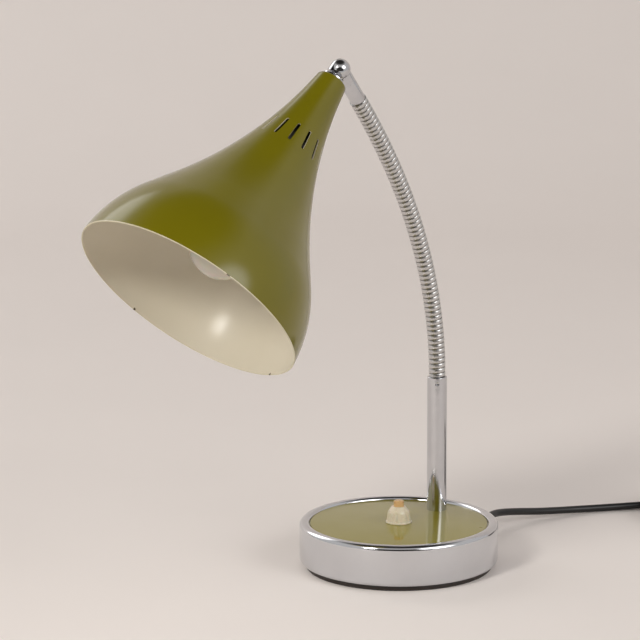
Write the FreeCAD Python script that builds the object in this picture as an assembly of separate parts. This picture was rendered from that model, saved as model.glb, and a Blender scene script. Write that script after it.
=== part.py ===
import FreeCAD, Part
import math
import os

os.makedirs("parts", exist_ok=True)

# Gooseneck desk lamp. Millimetres, +Z up. The origin is the centre of the base on the
# surface it stands on. The stem rises behind the centre, on +Y, and the shade hangs to -Y.

# Base housing
base_radius = 70.0
shell_wall = 1.2
shell_foot_height = 3.6
shell_foot_round = 3.4
shell_flange_width = 8.5
rim_width = 7.2
rim_rise = 1.6
rim_outer_round = 3.4
rim_inner_round = 2.6
plate_thickness = 1.5
plate_top = 31.2
plate_gap = 0.25

# Bottom cover, which is also the foot
foot_radius = 65.6
foot_round = 0.7
cover_rim_width = 5.0
cover_thickness = 2.6
cover_screw_sink = 0.8
cover_gap = 0.3
cover_screw_radius = 2.0
cover_screw_head_radius = 3.8
cover_screw_length = 9.0
cover_screw_circle = 44.0
cover_screw_count = 3
cover_screw_start = 30.0

# Cast weight
weight_radius = 58.0
weight_bottom = 14.0
weight_pocket_radius = 18.0
weight_boss_radius = 5.5
weight_draft_round = 2.0

# Stem and what holds it down
stem_inset = 25.0
stem_radius = 7.0
stem_wall = 1.0
stem_top = 128.5
stem_mouth_round = 0.5
stem_plug_length = 16.0
stem_plug_gap = 0.05
nipple_radius = 4.9
nipple_bore = 3.4
nipple_gap = 0.1
washer_radius = 10.0
washer_thickness = 1.3
nut_across_flats = 14.0
nut_height = 4.0
dimple_radius = 1.6
dimple_depth = 0.45
dimple_drop = 4.2
dimple_count = 3
dimple_start = -53.0

# Gooseneck, wound in ribs and cut into short stiff lengths
neck_lengths = 16
ribs_per_length = 4
rib_pitch = 3.6
rib_crown_radius = 6.0
rib_root_radius = 5.0
rib_groove = 0.95
rib_flank = 0.45
neck_bore = 2.6
neck_turn_low = 3.77
neck_turn_high = 1.325
collar_ball_radius = 3.7
collar_ball_gap = 0.3
collar_ball_rise = 34.0
neck_sleeve_length = 16.0
neck_sleeve_gap = 0.1

# Ferrule and swivel knuckle
ferrule_radius = 5.4
ferrule_edge = 0.4
ferrule_bore = 1.8
ferrule_spigot_length = 5.0
ferrule_spigot_gap = 0.05
pivot_distance = 29.55
ferrule_seam_edge = 0.1
knuckle_radius = 5.4
knuckle_shoulder = 12.0
knuckle_ball_radius = 7.0
knuckle_split = 0.3
knuckle_lower_step = 11.0
knuckle_upper_step = 8.9
knuckle_base_radius = 8.3
knuckle_base_rim = 2.0
knuckle_base_height = 4.0
knuckle_tenon_radius = 3.4
knuckle_tenon_length = 9.0
pivot_screw_radius = 1.6
pivot_screw_gap = 0.05
pivot_screw_reach = 4.6
pivot_screw_end_gap = 0.4
pivot_head_radius = 2.9
pivot_head_height = 1.5
pivot_head_sink = 0.9
pivot_head_gap = 0.15
pivot_slot_width = 0.8
pivot_slot_depth = 0.7
head_turn = -4.88
head_tilt = -86.0

# Shade, a spun bell with a ring of vent slots
shade_drop = 10.2
shade_length = 184.7
shade_wall = 1.0
shade_top_radius = 10.67
shade_top_round = 2.2
shade_neck_length = 6.0
shade_neck_angle = 8.1
shade_flare_angle = 32.5
shade_flare_end = 122.1
shade_cone_length = 17.0
shade_rim_angle = 3.7
slot_count = 15
slot_width = 2.1
slot_start = 47.8
slot_end = 63.4
slot_turn = -1.6

# Fittings inside the shade
shank_length = 14.0
lock_washer_radius = 8.2
lock_washer_thickness = 1.2
coupling_radius = 7.2
coupling_length = 14.0
coupling_start = 8.0
thread_gap = 0.05

# Lamp holder and lamp, placed along the shade's axis from the shade's top
holder_radius = 13.5
holder_wall = 1.8
holder_cap_start = 58.0
holder_cap_length = 15.0
holder_cap_top_radius = 8.0
holder_cap_round = 3.5
holder_skirt_end = 104.0
holder_lip = 1.4
holder_lip_length = 3.0
insert_thickness = 7.0
insert_gap = 0.1
sleeve_radius = 8.0
sleeve_bore = 7.1
contact_radius = 2.4
contact_height = 3.5
lamp_cap_radius = 6.9
lamp_cap_length = 17.0
lamp_foot_radius = 2.4
lamp_foot_height = 2.0
lamp_globe_radius = 22.5
lamp_globe_centre = 140.5
lamp_glass_wall = 0.8
lamp_throat_radius = 6.7
lamp_throat_blend = 16.0

# Push switch in the middle of the base
collar_flange_radius = 9.2
collar_flange_height = 1.3
collar_height = 11.7
collar_side_radius = 8.6
collar_shoulder_radius = 7.7
collar_top_radius = 4.9
collar_shoulder_height = 7.9
collar_shoulder_round = 4.0
collar_edge_round = 0.9
flute_count = 6
flute_radius = 1.5
flute_depth = 0.8
flute_start = -66.0
barrel_radius = 4.9
barrel_top_clearance = 3.0
button_radius = 3.6
button_rise = 4.2
button_crown = 0.8
button_gap = 0.08
button_travel = 3.0
switch_length = 24.0
switch_width = 15.0
switch_height = 19.0
switch_round = 1.5
switch_well_radius = 4.6
spring_wire = 0.5
spring_radius = 3.2
spring_turns = 6
spring_height = 10.0
terminal_width = 6.0
terminal_thickness = 1.0
terminal_height = 9.0
terminal_screw_radius = 1.9
terminal_screw_height = 2.0

# Mains cord, its strain relief and its plug
cord_radius = 2.7
cord_height = 12.0
relief_flange_radius = 6.0
relief_flange_thickness = 2.4
relief_neck_radius = 5.0
relief_collar_radius = 6.8
relief_collar_thickness = 2.0
relief_start_radius = 5.2
relief_end_radius = 3.6
relief_groove = 1.2
relief_groove_depth = 0.6
relief_groove_count = 4
relief_groove_pitch = 4.4
relief_gap = 0.05
coil_mean_radius = 31.0
coil_loops_per_layer = 2
coil_layers = 4
coil_step = 6.0
coil_floor_gap = 0.8
coil_steps_per_turn = 8
coil_blend = 0.25
lead_climb = 2.5
lead_climb_loops = 0.375
tie_width = 6.0
tie_thickness = 0.6
tie_gap = 0.35
tie_rest = 0.1
tie_share = 0.6
plug_width = 35.0
plug_thickness = 13.7
plug_length = 34.0
plug_rear_width = 13.0
plug_edge_round = 2.4
plug_rear_round = 2.0
plug_side_round = 8.0
plug_front_round = 1.0
plug_taper_share = 0.55
plug_boot_length = 12.0
plug_boot_end_radius = 3.6
plug_boot_start_radius = 5.0
plug_rest_gap = 0.2
pin_radius = 2.0
pin_length = 19.0
pin_spacing = 18.6
plug_turn_radius = 27.0

# The cord's free stretch, from the strain relief to the coil. The last point is the coil's start.
cord_floor = cord_radius + 0.1
cord_route = [
    (0.0, 97.0, cord_height),
    (0.0, 110.0, cord_height),
    (-2.5, 124.0, 11.4),
    (1.5, 144.0, 8.6),
    (9.0, 164.0, 5.6),
    (23.5, 195.5, 3.1),
    (42.5, 221.0, cord_floor),
    (62.5, 243.4, cord_radius + coil_floor_gap),
    (84.0, 264.0, cord_radius + coil_floor_gap),
]

# Sizes that follow from the ones above
stem_offset = base_radius - stem_inset
web_top = plate_top - plate_thickness
web_bottom = web_top - shell_wall
rim_top = plate_top + rim_rise
rim_inner_radius = base_radius - rim_width
neck_length_each = rib_pitch * ribs_per_length
neck_length = neck_length_each * neck_lengths
shell_bore = base_radius - shell_wall

full_turn = 360.0
origin = FreeCAD.Vector(0, 0, 0)
x_axis = FreeCAD.Vector(1, 0, 0)
y_axis = FreeCAD.Vector(0, 1, 0)
z_axis = FreeCAD.Vector(0, 0, 1)


def point(x, y, z):
    return FreeCAD.Vector(x, y, z)


def save(name, shape):
    shape.exportStep("parts/" + name + ".step")


def fused(shapes):
    whole = shapes[0]
    if len(shapes) > 1:
        whole = whole.fuse(shapes[1:])
    return whole.removeSplitter()


def moved(shape, place):
    copy = shape.copy()
    copy.Placement = place.multiply(copy.Placement)
    return copy


def turned_about_z(shape, degrees):
    return moved(shape, FreeCAD.Placement(origin, FreeCAD.Rotation(z_axis, degrees)))


# A closed outline in the XZ plane through corners (x, z, radius), each rounded by its radius
def rounded_outline(corners):
    count = len(corners)
    spots = [point(corner[0], 0, corner[1]) for corner in corners]
    bends = []
    for k in range(count):
        here = spots[k]
        radius = corners[k][2]
        if radius <= 0:
            bends.append((here, None, here))
            continue
        back = (spots[k - 1] - here).normalize()
        ahead = (spots[(k + 1) % count] - here).normalize()
        half = back.getAngle(ahead) / 2
        reach = radius / math.tan(half)
        inward = (back + ahead).normalize()
        centre = here + inward * (radius / math.sin(half))
        bends.append((here + back * reach, centre - inward * radius, here + ahead * reach))
    edges = []
    for k in range(count):
        start, middle, end = bends[k]
        following = bends[(k + 1) % count][0]
        if middle is not None:
            edges.append(Part.Arc(start, middle, end).toShape())
        if (following - end).Length > 1e-6:
            edges.append(Part.LineSegment(end, following).toShape())
    return Part.Wire(edges)


# A solid turned about Z from corners (radius, height, rounding)
def turned(corners):
    return Part.Face(rounded_outline(corners)).revolve(origin, z_axis, full_turn)


def disc(radius, bottom, top, x=0.0, y=0.0):
    return Part.makeCylinder(radius, top - bottom, point(x, y, bottom), z_axis)


def tube(outer, inner, bottom, top, x=0.0, y=0.0):
    return disc(outer, bottom, top, x, y).cut(disc(inner, bottom - 1, top + 1, x, y))


def hex_nut(bottom, bore, x=0.0, y=0.0):
    corner = nut_across_flats / math.sqrt(3)
    ring = []
    for k in range(7):
        angle = math.radians(60 * k)
        ring.append(point(x + corner * math.cos(angle), y + corner * math.sin(angle), bottom))
    body = Part.Face(Part.makePolygon(ring)).extrude(z_axis * nut_height)
    return body.cut(disc(bore, bottom - 1, bottom + nut_height + 1, x, y))


# A smooth path in space between two points with given directions, as two arcs that meet
def arc_pair(start, start_way, end, end_way):
    across = end - start
    ways = start_way + end_way
    a = ways.dot(ways) - 4
    b = -2 * across.dot(ways)
    c = across.dot(across)
    reach = (-b - math.sqrt(b * b - 4 * a * c)) / (2 * a)
    if reach < 0:
        reach = (-b + math.sqrt(b * b - 4 * a * c)) / (2 * a)
    first = start + start_way * reach
    last = end - end_way * reach
    middle = (first + last) * 0.5
    return [arc_by_corner(start, first, middle), arc_by_corner(middle, last, end)]


# The arc from start to end that touches the lines to their common corner
def arc_by_corner(start, corner, end):
    chord = (start + end) * 0.5
    out = corner - chord
    turn = (corner - start).getAngle(end - corner)
    share = math.tan(turn / 4) / math.tan(turn / 2)
    return Part.Arc(start, chord + out * share, end).toShape()


# A round tube along tangent edges
def piped(edges, radius, start, way):
    path = Part.Wire(edges)
    ring = Part.Wire([Part.Circle(start, way, radius).toShape()])
    shell = Part.BRepOffsetAPI.MakePipeShell(path)
    shell.add(ring)
    shell.build()
    shell.makeSolid()
    return shell.shape()


# Straight runs joined by arcs, each as large as its two runs allow
def route_edges(route):
    spots = [point(*spot) for spot in route]
    edges = []
    radii = []
    here = spots[0]
    for k in range(1, len(spots) - 1):
        before = spots[k] - spots[k - 1]
        after = spots[k + 1] - spots[k]
        reach = 0.45 * min(before.Length, after.Length)
        half = before.getAngle(after) / 2
        radii.append(reach / math.tan(half))
        enter = spots[k] - before.normalize() * reach
        leave = spots[k] + after.normalize() * reach
        edges.append(Part.LineSegment(here, enter).toShape())
        edges.append(arc_by_corner(enter, spots[k], leave))
        here = leave
    edges.append(Part.LineSegment(here, spots[-1]).toShape())
    return edges, radii


# Base housing: one pressing with a rolled rim, a sunk top and an inturned foot flange
def make_base_shell():
    flange_inner = base_radius - shell_flange_width
    foot_inner_round = shell_foot_round - shell_wall
    lip_inner_round = rim_outer_round - shell_wall
    rim_under_round = rim_inner_round - shell_wall
    shell = turned([
        (0, web_bottom, 0),
        (rim_inner_radius + shell_wall, web_bottom, 0),
        (rim_inner_radius + shell_wall, rim_top - shell_wall, rim_under_round),
        (shell_bore, rim_top - shell_wall, lip_inner_round),
        (shell_bore, shell_foot_height + shell_wall, foot_inner_round),
        (flange_inner, shell_foot_height + shell_wall, 0),
        (flange_inner, shell_foot_height, 0),
        (base_radius, shell_foot_height, shell_foot_round),
        (base_radius, rim_top, rim_outer_round),
        (rim_inner_radius, rim_top, rim_inner_round),
        (rim_inner_radius, web_top, 0),
        (0, web_top, 0),
    ])
    shell = shell.cut(disc(barrel_radius + thread_gap, web_bottom - 1, web_top + 1))
    stem_hole = disc(nipple_radius + nipple_gap, web_bottom - 1, web_top + 1, 0, stem_offset)
    cord_hole = Part.makeCylinder(relief_neck_radius + relief_gap, 2 * rim_width,
                                  point(0, base_radius - rim_width, cord_height), y_axis)
    return shell.cut([stem_hole, cord_hole])


# Painted disc that lies in the sunk top
def make_top_plate():
    radius = rim_inner_radius - plate_gap
    plate = turned([
        (0, web_top, 0),
        (radius, web_top, 0),
        (radius, plate_top, plate_thickness / 3),
        (0, plate_top, 0),
    ])
    plate = plate.cut(disc(barrel_radius + thread_gap, web_top - 1, plate_top + 1))
    return plate.cut(disc(nipple_radius + nipple_gap, web_top - 1, plate_top + 1, 0, stem_offset))


def cover_screw_spots():
    spots = []
    for k in range(cover_screw_count):
        angle = math.radians(cover_screw_start + full_turn * k / cover_screw_count)
        spots.append((cover_screw_circle * math.cos(angle), cover_screw_circle * math.sin(angle)))
    return spots


# Cast weight under the sunk top, with a pocket for the switch and bosses for the cover
def make_base_weight():
    weight = turned([
        (weight_pocket_radius, weight_bottom, weight_draft_round),
        (weight_radius, weight_bottom, weight_draft_round),
        (weight_radius, web_bottom, 0),
        (weight_pocket_radius, web_bottom, 0),
    ])
    boss_bottom = cover_thickness
    bosses = [disc(weight_boss_radius, boss_bottom, weight_bottom + 2, x, y) for x, y in cover_screw_spots()]
    weight = fused([weight] + bosses)
    drill_top = boss_bottom + cover_screw_length + 1
    holes = [disc(cover_screw_radius, boss_bottom - 1, drill_top, x, y) for x, y in cover_screw_spots()]
    holes.append(disc(nipple_radius + nipple_gap, weight_bottom - 1, web_bottom + 1, 0, stem_offset))
    return weight.cut(holes)


# Moulded bottom cover: the foot under the housing's flange, with a rim that centres it inside
def make_bottom_cover():
    rim_radius = base_radius - shell_flange_width - cover_gap
    rim_height = shell_foot_height + shell_wall
    cover = turned([
        (0, 0, 0),
        (foot_radius, 0, foot_round),
        (foot_radius, shell_foot_height, 0),
        (rim_radius, shell_foot_height, 0),
        (rim_radius, rim_height, 0),
        (rim_radius - cover_rim_width, rim_height, 0),
        (rim_radius - cover_rim_width, cover_thickness, 0),
        (0, cover_thickness, 0),
    ])
    sinks = []
    for x, y in cover_screw_spots():
        sinks.append(disc(cover_screw_radius, -1, cover_thickness + 1, x, y))
        sinks.append(disc(cover_screw_head_radius, -1, cover_screw_sink, x, y))
        sinks.append(Part.makeCone(cover_screw_head_radius, cover_screw_radius,
                                   cover_thickness - cover_screw_sink,
                                   point(x, y, cover_screw_sink), z_axis))
    return cover.cut(sinks)


# Countersunk screws through the cover into the weight's bosses
def make_cover_screws():
    screws = []
    shank = cover_screw_radius - thread_gap
    for x, y in cover_screw_spots():
        head = Part.makeCone(cover_screw_head_radius - thread_gap, shank,
                             cover_thickness - cover_screw_sink,
                             point(x, y, cover_screw_sink), z_axis)
        body = disc(shank, cover_screw_sink, cover_thickness + cover_screw_length, x, y)
        slot = Part.makeBox(3 * cover_screw_head_radius, pivot_slot_width, pivot_slot_depth)
        slot.translate(point(x - 1.5 * cover_screw_head_radius, y - pivot_slot_width / 2, cover_screw_sink))
        screws.append(head.fuse(body).cut(slot))
    return Part.makeCompound(screws)


# Stem: a plain tube, staked to the gooseneck by three small dimples
def make_stem_tube():
    inner = stem_radius - stem_wall
    stem = turned([
        (inner, plate_top, 0),
        (stem_radius, plate_top, 0),
        (stem_radius, stem_top, stem_mouth_round),
        (inner, stem_top, 0),
    ])
    stem.translate(point(0, stem_offset, 0))
    dents = []
    for k in range(dimple_count):
        angle = math.radians(dimple_start + full_turn * k / dimple_count)
        reach = stem_radius - dimple_depth + dimple_radius
        spot = point(reach * math.cos(angle), stem_offset + reach * math.sin(angle), stem_top - dimple_drop)
        dents.append(Part.makeSphere(dimple_radius, spot))
    return stem.cut(dents)


def make_stem_plug():
    plug = tube(stem_radius - stem_wall - stem_plug_gap, nipple_radius + thread_gap,
                plate_top, plate_top + stem_plug_length, 0, stem_offset)
    return plug


def nipple_bottom():
    return weight_bottom - washer_thickness - nut_height - 1.0


def make_stem_nipple():
    return tube(nipple_radius, nipple_bore, nipple_bottom(), plate_top + stem_plug_length - 2,
                0, stem_offset)


def make_stem_washer():
    return tube(washer_radius, nipple_radius + nipple_gap, weight_bottom - washer_thickness,
                weight_bottom, 0, stem_offset)


def make_stem_nut():
    return hex_nut(weight_bottom - washer_thickness - nut_height, nipple_radius + thread_gap,
                   0, stem_offset)


def neck_turn(k):
    share = k / (neck_lengths - 1)
    return math.radians(neck_turn_low + (neck_turn_high - neck_turn_low) * share)


# Centre and lean of the gooseneck at a distance along it from the stem's mouth
def neck_at(distance):
    y = stem_offset
    z = stem_top
    lean = 0.0
    left = distance
    for k in range(neck_lengths):
        run = min(max(left, 0.0), neck_length_each)
        turn = neck_turn(k) * run / neck_length_each
        chord = run
        if abs(turn) > 1e-9:
            chord = 2 * run / turn * math.sin(turn / 2)
        y -= chord * math.sin(lean + turn / 2)
        z += chord * math.cos(lean + turn / 2)
        lean += turn
        left -= neck_length_each
        if left <= 0:
            break
    return point(0, y, z), lean


def neck_way(lean):
    return point(0, -math.sin(lean), math.cos(lean))


def neck_ring(distance, radius):
    spot, lean = neck_at(distance)
    circle = Part.Circle(spot, neck_way(lean), radius)
    circle.XAxis = x_axis
    return Part.Wire([circle.toShape()])


# One stiff length of the gooseneck: four ribs, a round socket below and a ball collar above
def make_neck_length(k):
    start = k * neck_length_each
    half_root = (rib_pitch - rib_groove) / 2
    half_crown = half_root - rib_flank
    rings = []
    for j in range(ribs_per_length):
        middle = start + (j + 0.5) * rib_pitch
        rings.append(neck_ring(middle - half_root, rib_root_radius))
        rings.append(neck_ring(middle - half_crown, rib_crown_radius))
        rings.append(neck_ring(middle + half_crown, rib_crown_radius))
        rings.append(neck_ring(middle + half_root, rib_root_radius))
    body = Part.makeLoft(rings, True, True)
    low, low_lean = neck_at(start)
    high, high_lean = neck_at(start + neck_length_each)
    low_way = neck_way(low_lean)
    high_way = neck_way(high_lean)
    last = k == neck_lengths - 1
    if k == 0:
        sleeve = Part.makeCylinder(stem_radius - stem_wall - neck_sleeve_gap, neck_sleeve_length + rib_groove,
                                   low - low_way * neck_sleeve_length, low_way)
        body = body.fuse(sleeve)
    else:
        socket_depth = collar_ball_radius + rib_groove
        socket = Part.makeCylinder(collar_ball_radius + collar_ball_gap, socket_depth, low, low_way)
        body = body.cut(socket)
    if not last:
        sink = math.degrees(math.asin(rib_groove / collar_ball_radius))
        ball = Part.makeSphere(collar_ball_radius, high, high_way, -sink, collar_ball_rise, full_turn)
        body = body.fuse(ball)
    bore_way = high_way if last else (high - low).normalize()
    beyond = 2 * collar_ball_radius
    depth = neck_length_each + 2 * beyond
    if k == 0:
        depth += neck_sleeve_length
    bore = Part.makeCylinder(neck_bore, depth, high + bore_way * beyond, -bore_way)
    return body.cut(bore)


# The frame at the gooseneck's upper end, with Z along the ferrule
def ferrule_place():
    spot, lean = neck_at(neck_length)
    return FreeCAD.Placement(spot, FreeCAD.Rotation(x_axis, math.degrees(lean)))


# The frame of the swivel's pivot, with X along its pin and Z along the ferrule
def knuckle_place():
    lift = FreeCAD.Placement(point(0, 0, pivot_distance), FreeCAD.Rotation(z_axis, head_turn))
    return ferrule_place().multiply(lift)


# The frame of the head, with Z up the shade's axis and the origin on the pivot
def head_place():
    tilt = FreeCAD.Placement(origin, FreeCAD.Rotation(x_axis, head_tilt))
    return knuckle_place().multiply(tilt)


# Height in the head's frame of a place along the shade's axis
def along_shade(distance):
    return -(shade_drop + distance)


def make_ferrule():
    bottom = thread_gap - rib_groove / 2
    top = pivot_distance - knuckle_shoulder
    spigot = neck_bore - ferrule_spigot_gap
    tenon_bottom = top - knuckle_tenon_length - 1
    body = turned([
        (ferrule_bore, bottom - ferrule_spigot_length, 0),
        (spigot, bottom - ferrule_spigot_length, 0),
        (spigot, bottom, 0),
        (ferrule_radius - ferrule_edge, bottom, 0),
        (ferrule_radius, bottom + ferrule_edge, 0),
        (ferrule_radius, top, ferrule_seam_edge),
        (knuckle_tenon_radius + thread_gap, top, 0),
        (knuckle_tenon_radius + thread_gap, tenon_bottom, 0),
        (ferrule_bore, tenon_bottom, 0),
    ])
    return moved(body, ferrule_place())


# One side of the swivel: a ball on a round foot, with the other side cut away down to a step.
# The half that stays is on +X when side is 1 and on -X when it is -1, and the foot points down.
def knuckle_half(body, side, step):
    reach = 3 * knuckle_ball_radius
    lap = Part.makeBox(reach, 2 * reach, reach + step)
    lap.translate(point(-reach if side > 0 else 0, -reach, -step))
    lap.translate(point(side * knuckle_split / 2, 0, 0))
    return body.cut(lap)


def make_lower_knuckle():
    ball = Part.makeSphere(knuckle_ball_radius, origin)
    foot = disc(knuckle_radius, -knuckle_shoulder, 0)
    half = knuckle_half(ball.fuse(foot), 1, knuckle_lower_step)
    tenon = disc(knuckle_tenon_radius, -knuckle_shoulder - knuckle_tenon_length, -knuckle_shoulder + 1)
    hole_length = pivot_screw_reach + pivot_screw_end_gap
    hole = Part.makeCylinder(pivot_screw_radius + pivot_screw_gap, hole_length, origin, x_axis)
    return moved(fused([half, tenon]).cut(hole), knuckle_place())


def make_upper_knuckle():
    bottom = -shade_drop
    ball = Part.makeSphere(knuckle_ball_radius, origin)
    skirt = turned([
        (0, bottom, 0),
        (knuckle_base_radius, bottom, 0),
        (knuckle_base_radius, bottom + knuckle_base_rim, 0.6),
        (knuckle_ball_radius, bottom + knuckle_base_height, 1.2),
        (knuckle_ball_radius, 0, 0),
        (0, 0, 0),
    ])
    half = knuckle_half(ball.fuse(skirt), -1, knuckle_upper_step)
    shank = disc(nipple_radius, bottom - shank_length, bottom + 1)
    hole = Part.makeCylinder(pivot_screw_radius, knuckle_ball_radius,
                             point(-knuckle_ball_radius, 0, 0), x_axis)
    seat = pivot_head_face() + pivot_head_height
    sink = Part.makeCylinder(pivot_head_radius + pivot_head_gap, knuckle_ball_radius,
                             point(seat - knuckle_ball_radius, 0, 0), x_axis)
    return moved(fused([half, shank]).cut([hole, sink]), head_place())


# Where the face of the pivot screw's head lies, a little below the ball on -X
def pivot_head_face():
    return -knuckle_ball_radius + pivot_head_sink


# Slotted screw that is tight in the upper half and turns in the lower half
def make_pivot_screw():
    face = pivot_head_face()
    shank = Part.makeCylinder(pivot_screw_radius, pivot_screw_reach - face, point(face, 0, 0), x_axis)
    head = Part.makeCylinder(pivot_head_radius, pivot_head_height, point(face, 0, 0), x_axis)
    slot = Part.makeBox(pivot_slot_depth, 3 * pivot_head_radius, pivot_slot_width)
    slot.translate(point(face, -1.5 * pivot_head_radius, -pivot_slot_width / 2))
    return moved(shank.fuse(head).cut(slot), head_place())


# The bell's line at an inward offset: neck, concave flare, straight cone, convex skirt
def bell_edges(offset):
    neck = math.radians(shade_neck_angle)
    flare = math.radians(shade_flare_angle)
    rim = math.radians(shade_rim_angle)
    flare_radius = (shade_flare_end - shade_neck_length) / (math.sin(flare) - math.sin(neck))
    skirt_start = shade_flare_end + shade_cone_length
    skirt_radius = (shade_length - skirt_start) / (math.sin(flare) - math.sin(rim))
    start_radius = shade_top_radius + shade_neck_length * math.tan(neck)
    flare_centre_r = start_radius + flare_radius * math.cos(neck)
    flare_centre_t = shade_neck_length - flare_radius * math.sin(neck)
    cone_radius = flare_centre_r - flare_radius * math.cos(flare)
    skirt_radius_start = cone_radius + shade_cone_length * math.tan(flare)
    skirt_centre_r = skirt_radius_start - skirt_radius * math.cos(flare)
    skirt_centre_t = skirt_start + skirt_radius * math.sin(flare)

    def flare_point(angle):
        reach = flare_radius + offset
        return (flare_centre_r - reach * math.cos(angle), flare_centre_t + reach * math.sin(angle))

    def skirt_point(angle):
        reach = skirt_radius - offset
        return (skirt_centre_r + reach * math.cos(angle), skirt_centre_t - reach * math.sin(angle))

    top_radius = shade_top_radius - offset / math.cos(neck) + offset * math.tan(neck)
    corners = [
        (top_radius, offset),
        flare_point(neck),
        flare_point((neck + flare) / 2),
        flare_point(flare),
        skirt_point(flare),
        skirt_point((flare + rim) / 2),
        skirt_point(rim),
    ]
    return [point(r, 0, along_shade(t)) for r, t in corners]


# Shade: the bell spun from one sheet, with a rounded rim and a ring of slots
def make_shade():
    outer = bell_edges(0)
    inner = bell_edges(shade_wall)
    hole = nipple_radius + nipple_gap
    round_out = shade_top_round
    slope = (outer[1] - outer[0]).normalize()
    top_start = outer[0] - x_axis * round_out
    top_end = outer[0] + slope * round_out
    rim_out = outer[6]
    rim_in = inner[6]
    rim_way = (outer[6] - outer[5]).normalize()
    rim_middle = (rim_out + rim_in) * 0.5 + rim_way * (shade_wall / 2)
    top_rim = point(hole, 0, along_shade(0))
    under_rim = point(hole, 0, along_shade(shade_wall))
    edges = [
        Part.LineSegment(top_rim, top_start).toShape(),
        arc_by_corner(top_start, outer[0], top_end),
        Part.LineSegment(top_end, outer[1]).toShape(),
        Part.Arc(outer[1], outer[2], outer[3]).toShape(),
        Part.LineSegment(outer[3], outer[4]).toShape(),
        Part.Arc(outer[4], outer[5], outer[6]).toShape(),
        Part.Arc(rim_out, rim_middle, rim_in).toShape(),
        Part.Arc(inner[6], inner[5], inner[4]).toShape(),
        Part.LineSegment(inner[4], inner[3]).toShape(),
        Part.Arc(inner[3], inner[2], inner[1]).toShape(),
        Part.LineSegment(inner[1], inner[0]).toShape(),
        Part.LineSegment(inner[0], under_rim).toShape(),
        Part.LineSegment(under_rim, top_rim).toShape(),
    ]
    bell = Part.Face(Part.Wire(edges)).revolve(origin, z_axis, full_turn)
    return moved(bell.cut(slot_cutters()), head_place())


# Upright round-ended slots, cut from outside through the bell's wall
def slot_cutters():
    high = along_shade(slot_start + slot_width / 2)
    low = along_shade(slot_end - slot_width / 2)
    reach = shade_flare_end
    cutters = []
    bar = Part.makeBox(reach, slot_width, high - low)
    bar.translate(point(0, -slot_width / 2, low))
    ends = [Part.makeCylinder(slot_width / 2, reach, point(0, 0, z), x_axis) for z in (low, high)]
    slot = bar.fuse(ends)
    core = disc(shade_top_radius, low - slot_width, high + slot_width)
    slot = slot.cut(core)
    for k in range(slot_count):
        cutters.append(turned_about_z(slot, slot_turn + full_turn * k / slot_count))
    return cutters


def make_lock_nut():
    washer_top = shade_wall
    nut_top = washer_top + lock_washer_thickness
    washer = tube(lock_washer_radius, nipple_radius + thread_gap,
                  along_shade(nut_top), along_shade(washer_top))
    nut = hex_nut(along_shade(nut_top + nut_height), nipple_radius + thread_gap)
    return moved(Part.makeCompound([washer, nut]), head_place())


def make_holder_coupling():
    coupling = tube(coupling_radius, nipple_radius + thread_gap,
                    along_shade(coupling_start + coupling_length), along_shade(coupling_start))
    return moved(coupling, head_place())


def make_holder_nipple():
    nipple = tube(nipple_radius, nipple_bore, along_shade(holder_cap_start + holder_wall + 4),
                  along_shade(shank_length + 1))
    return moved(nipple, head_place())


# Domed cap of the lamp holder, screwed to the nipple
def make_holder_cap():
    top = along_shade(holder_cap_start)
    bottom = along_shade(holder_cap_start + holder_cap_length)
    inner_round = holder_cap_round - holder_wall
    cap = turned([
        (nipple_radius + thread_gap, top, 0),
        (holder_cap_top_radius, top, 0.8),
        (holder_radius, top - holder_cap_length / 3, holder_cap_round),
        (holder_radius, bottom, 0),
        (holder_radius - holder_wall, bottom, 0),
        (holder_radius - holder_wall, top - holder_cap_length / 3 - holder_wall, inner_round),
        (nipple_radius + thread_gap, top - holder_cap_length / 3 - holder_wall, 0),
    ])
    return moved(cap, head_place())


def make_holder_skirt():
    top = along_shade(holder_cap_start + holder_cap_length)
    bottom = along_shade(holder_skirt_end)
    skirt = turned([
        (holder_radius - holder_wall, top, 0),
        (holder_radius, top, 0),
        (holder_radius, bottom + holder_lip_length, 0),
        (holder_radius + holder_lip, bottom + holder_lip_length, 0.5),
        (holder_radius + holder_lip, bottom, 0.5),
        (holder_radius - holder_wall, bottom, 0),
    ])
    return moved(skirt, head_place())


def lamp_foot():
    return holder_cap_start + holder_cap_length + insert_thickness + contact_height


def make_holder_insert():
    top = along_shade(holder_cap_start + holder_cap_length)
    insert = disc(holder_radius - holder_wall - insert_gap, top - insert_thickness, top)
    return moved(insert, head_place())


def make_thread_sleeve():
    top = along_shade(holder_cap_start + holder_cap_length + insert_thickness)
    sleeve = tube(sleeve_radius, sleeve_bore, along_shade(holder_skirt_end - 2), top)
    return moved(sleeve, head_place())


def make_centre_contact():
    top = along_shade(holder_cap_start + holder_cap_length + insert_thickness)
    contact = disc(contact_radius, top - contact_height, top)
    return moved(contact, head_place())


# Screw cap of the lamp with its black foot and solder point
def make_lamp_cap():
    foot = lamp_foot()
    cap_start = foot + lamp_foot_height
    cap = turned([
        (0, along_shade(foot), 0),
        (lamp_foot_radius, along_shade(foot), 0.6),
        (lamp_cap_radius, along_shade(cap_start), 0.4),
        (lamp_cap_radius, along_shade(cap_start + lamp_cap_length), 0),
        (0, along_shade(cap_start + lamp_cap_length), 0),
    ])
    return moved(cap, head_place())


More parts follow.
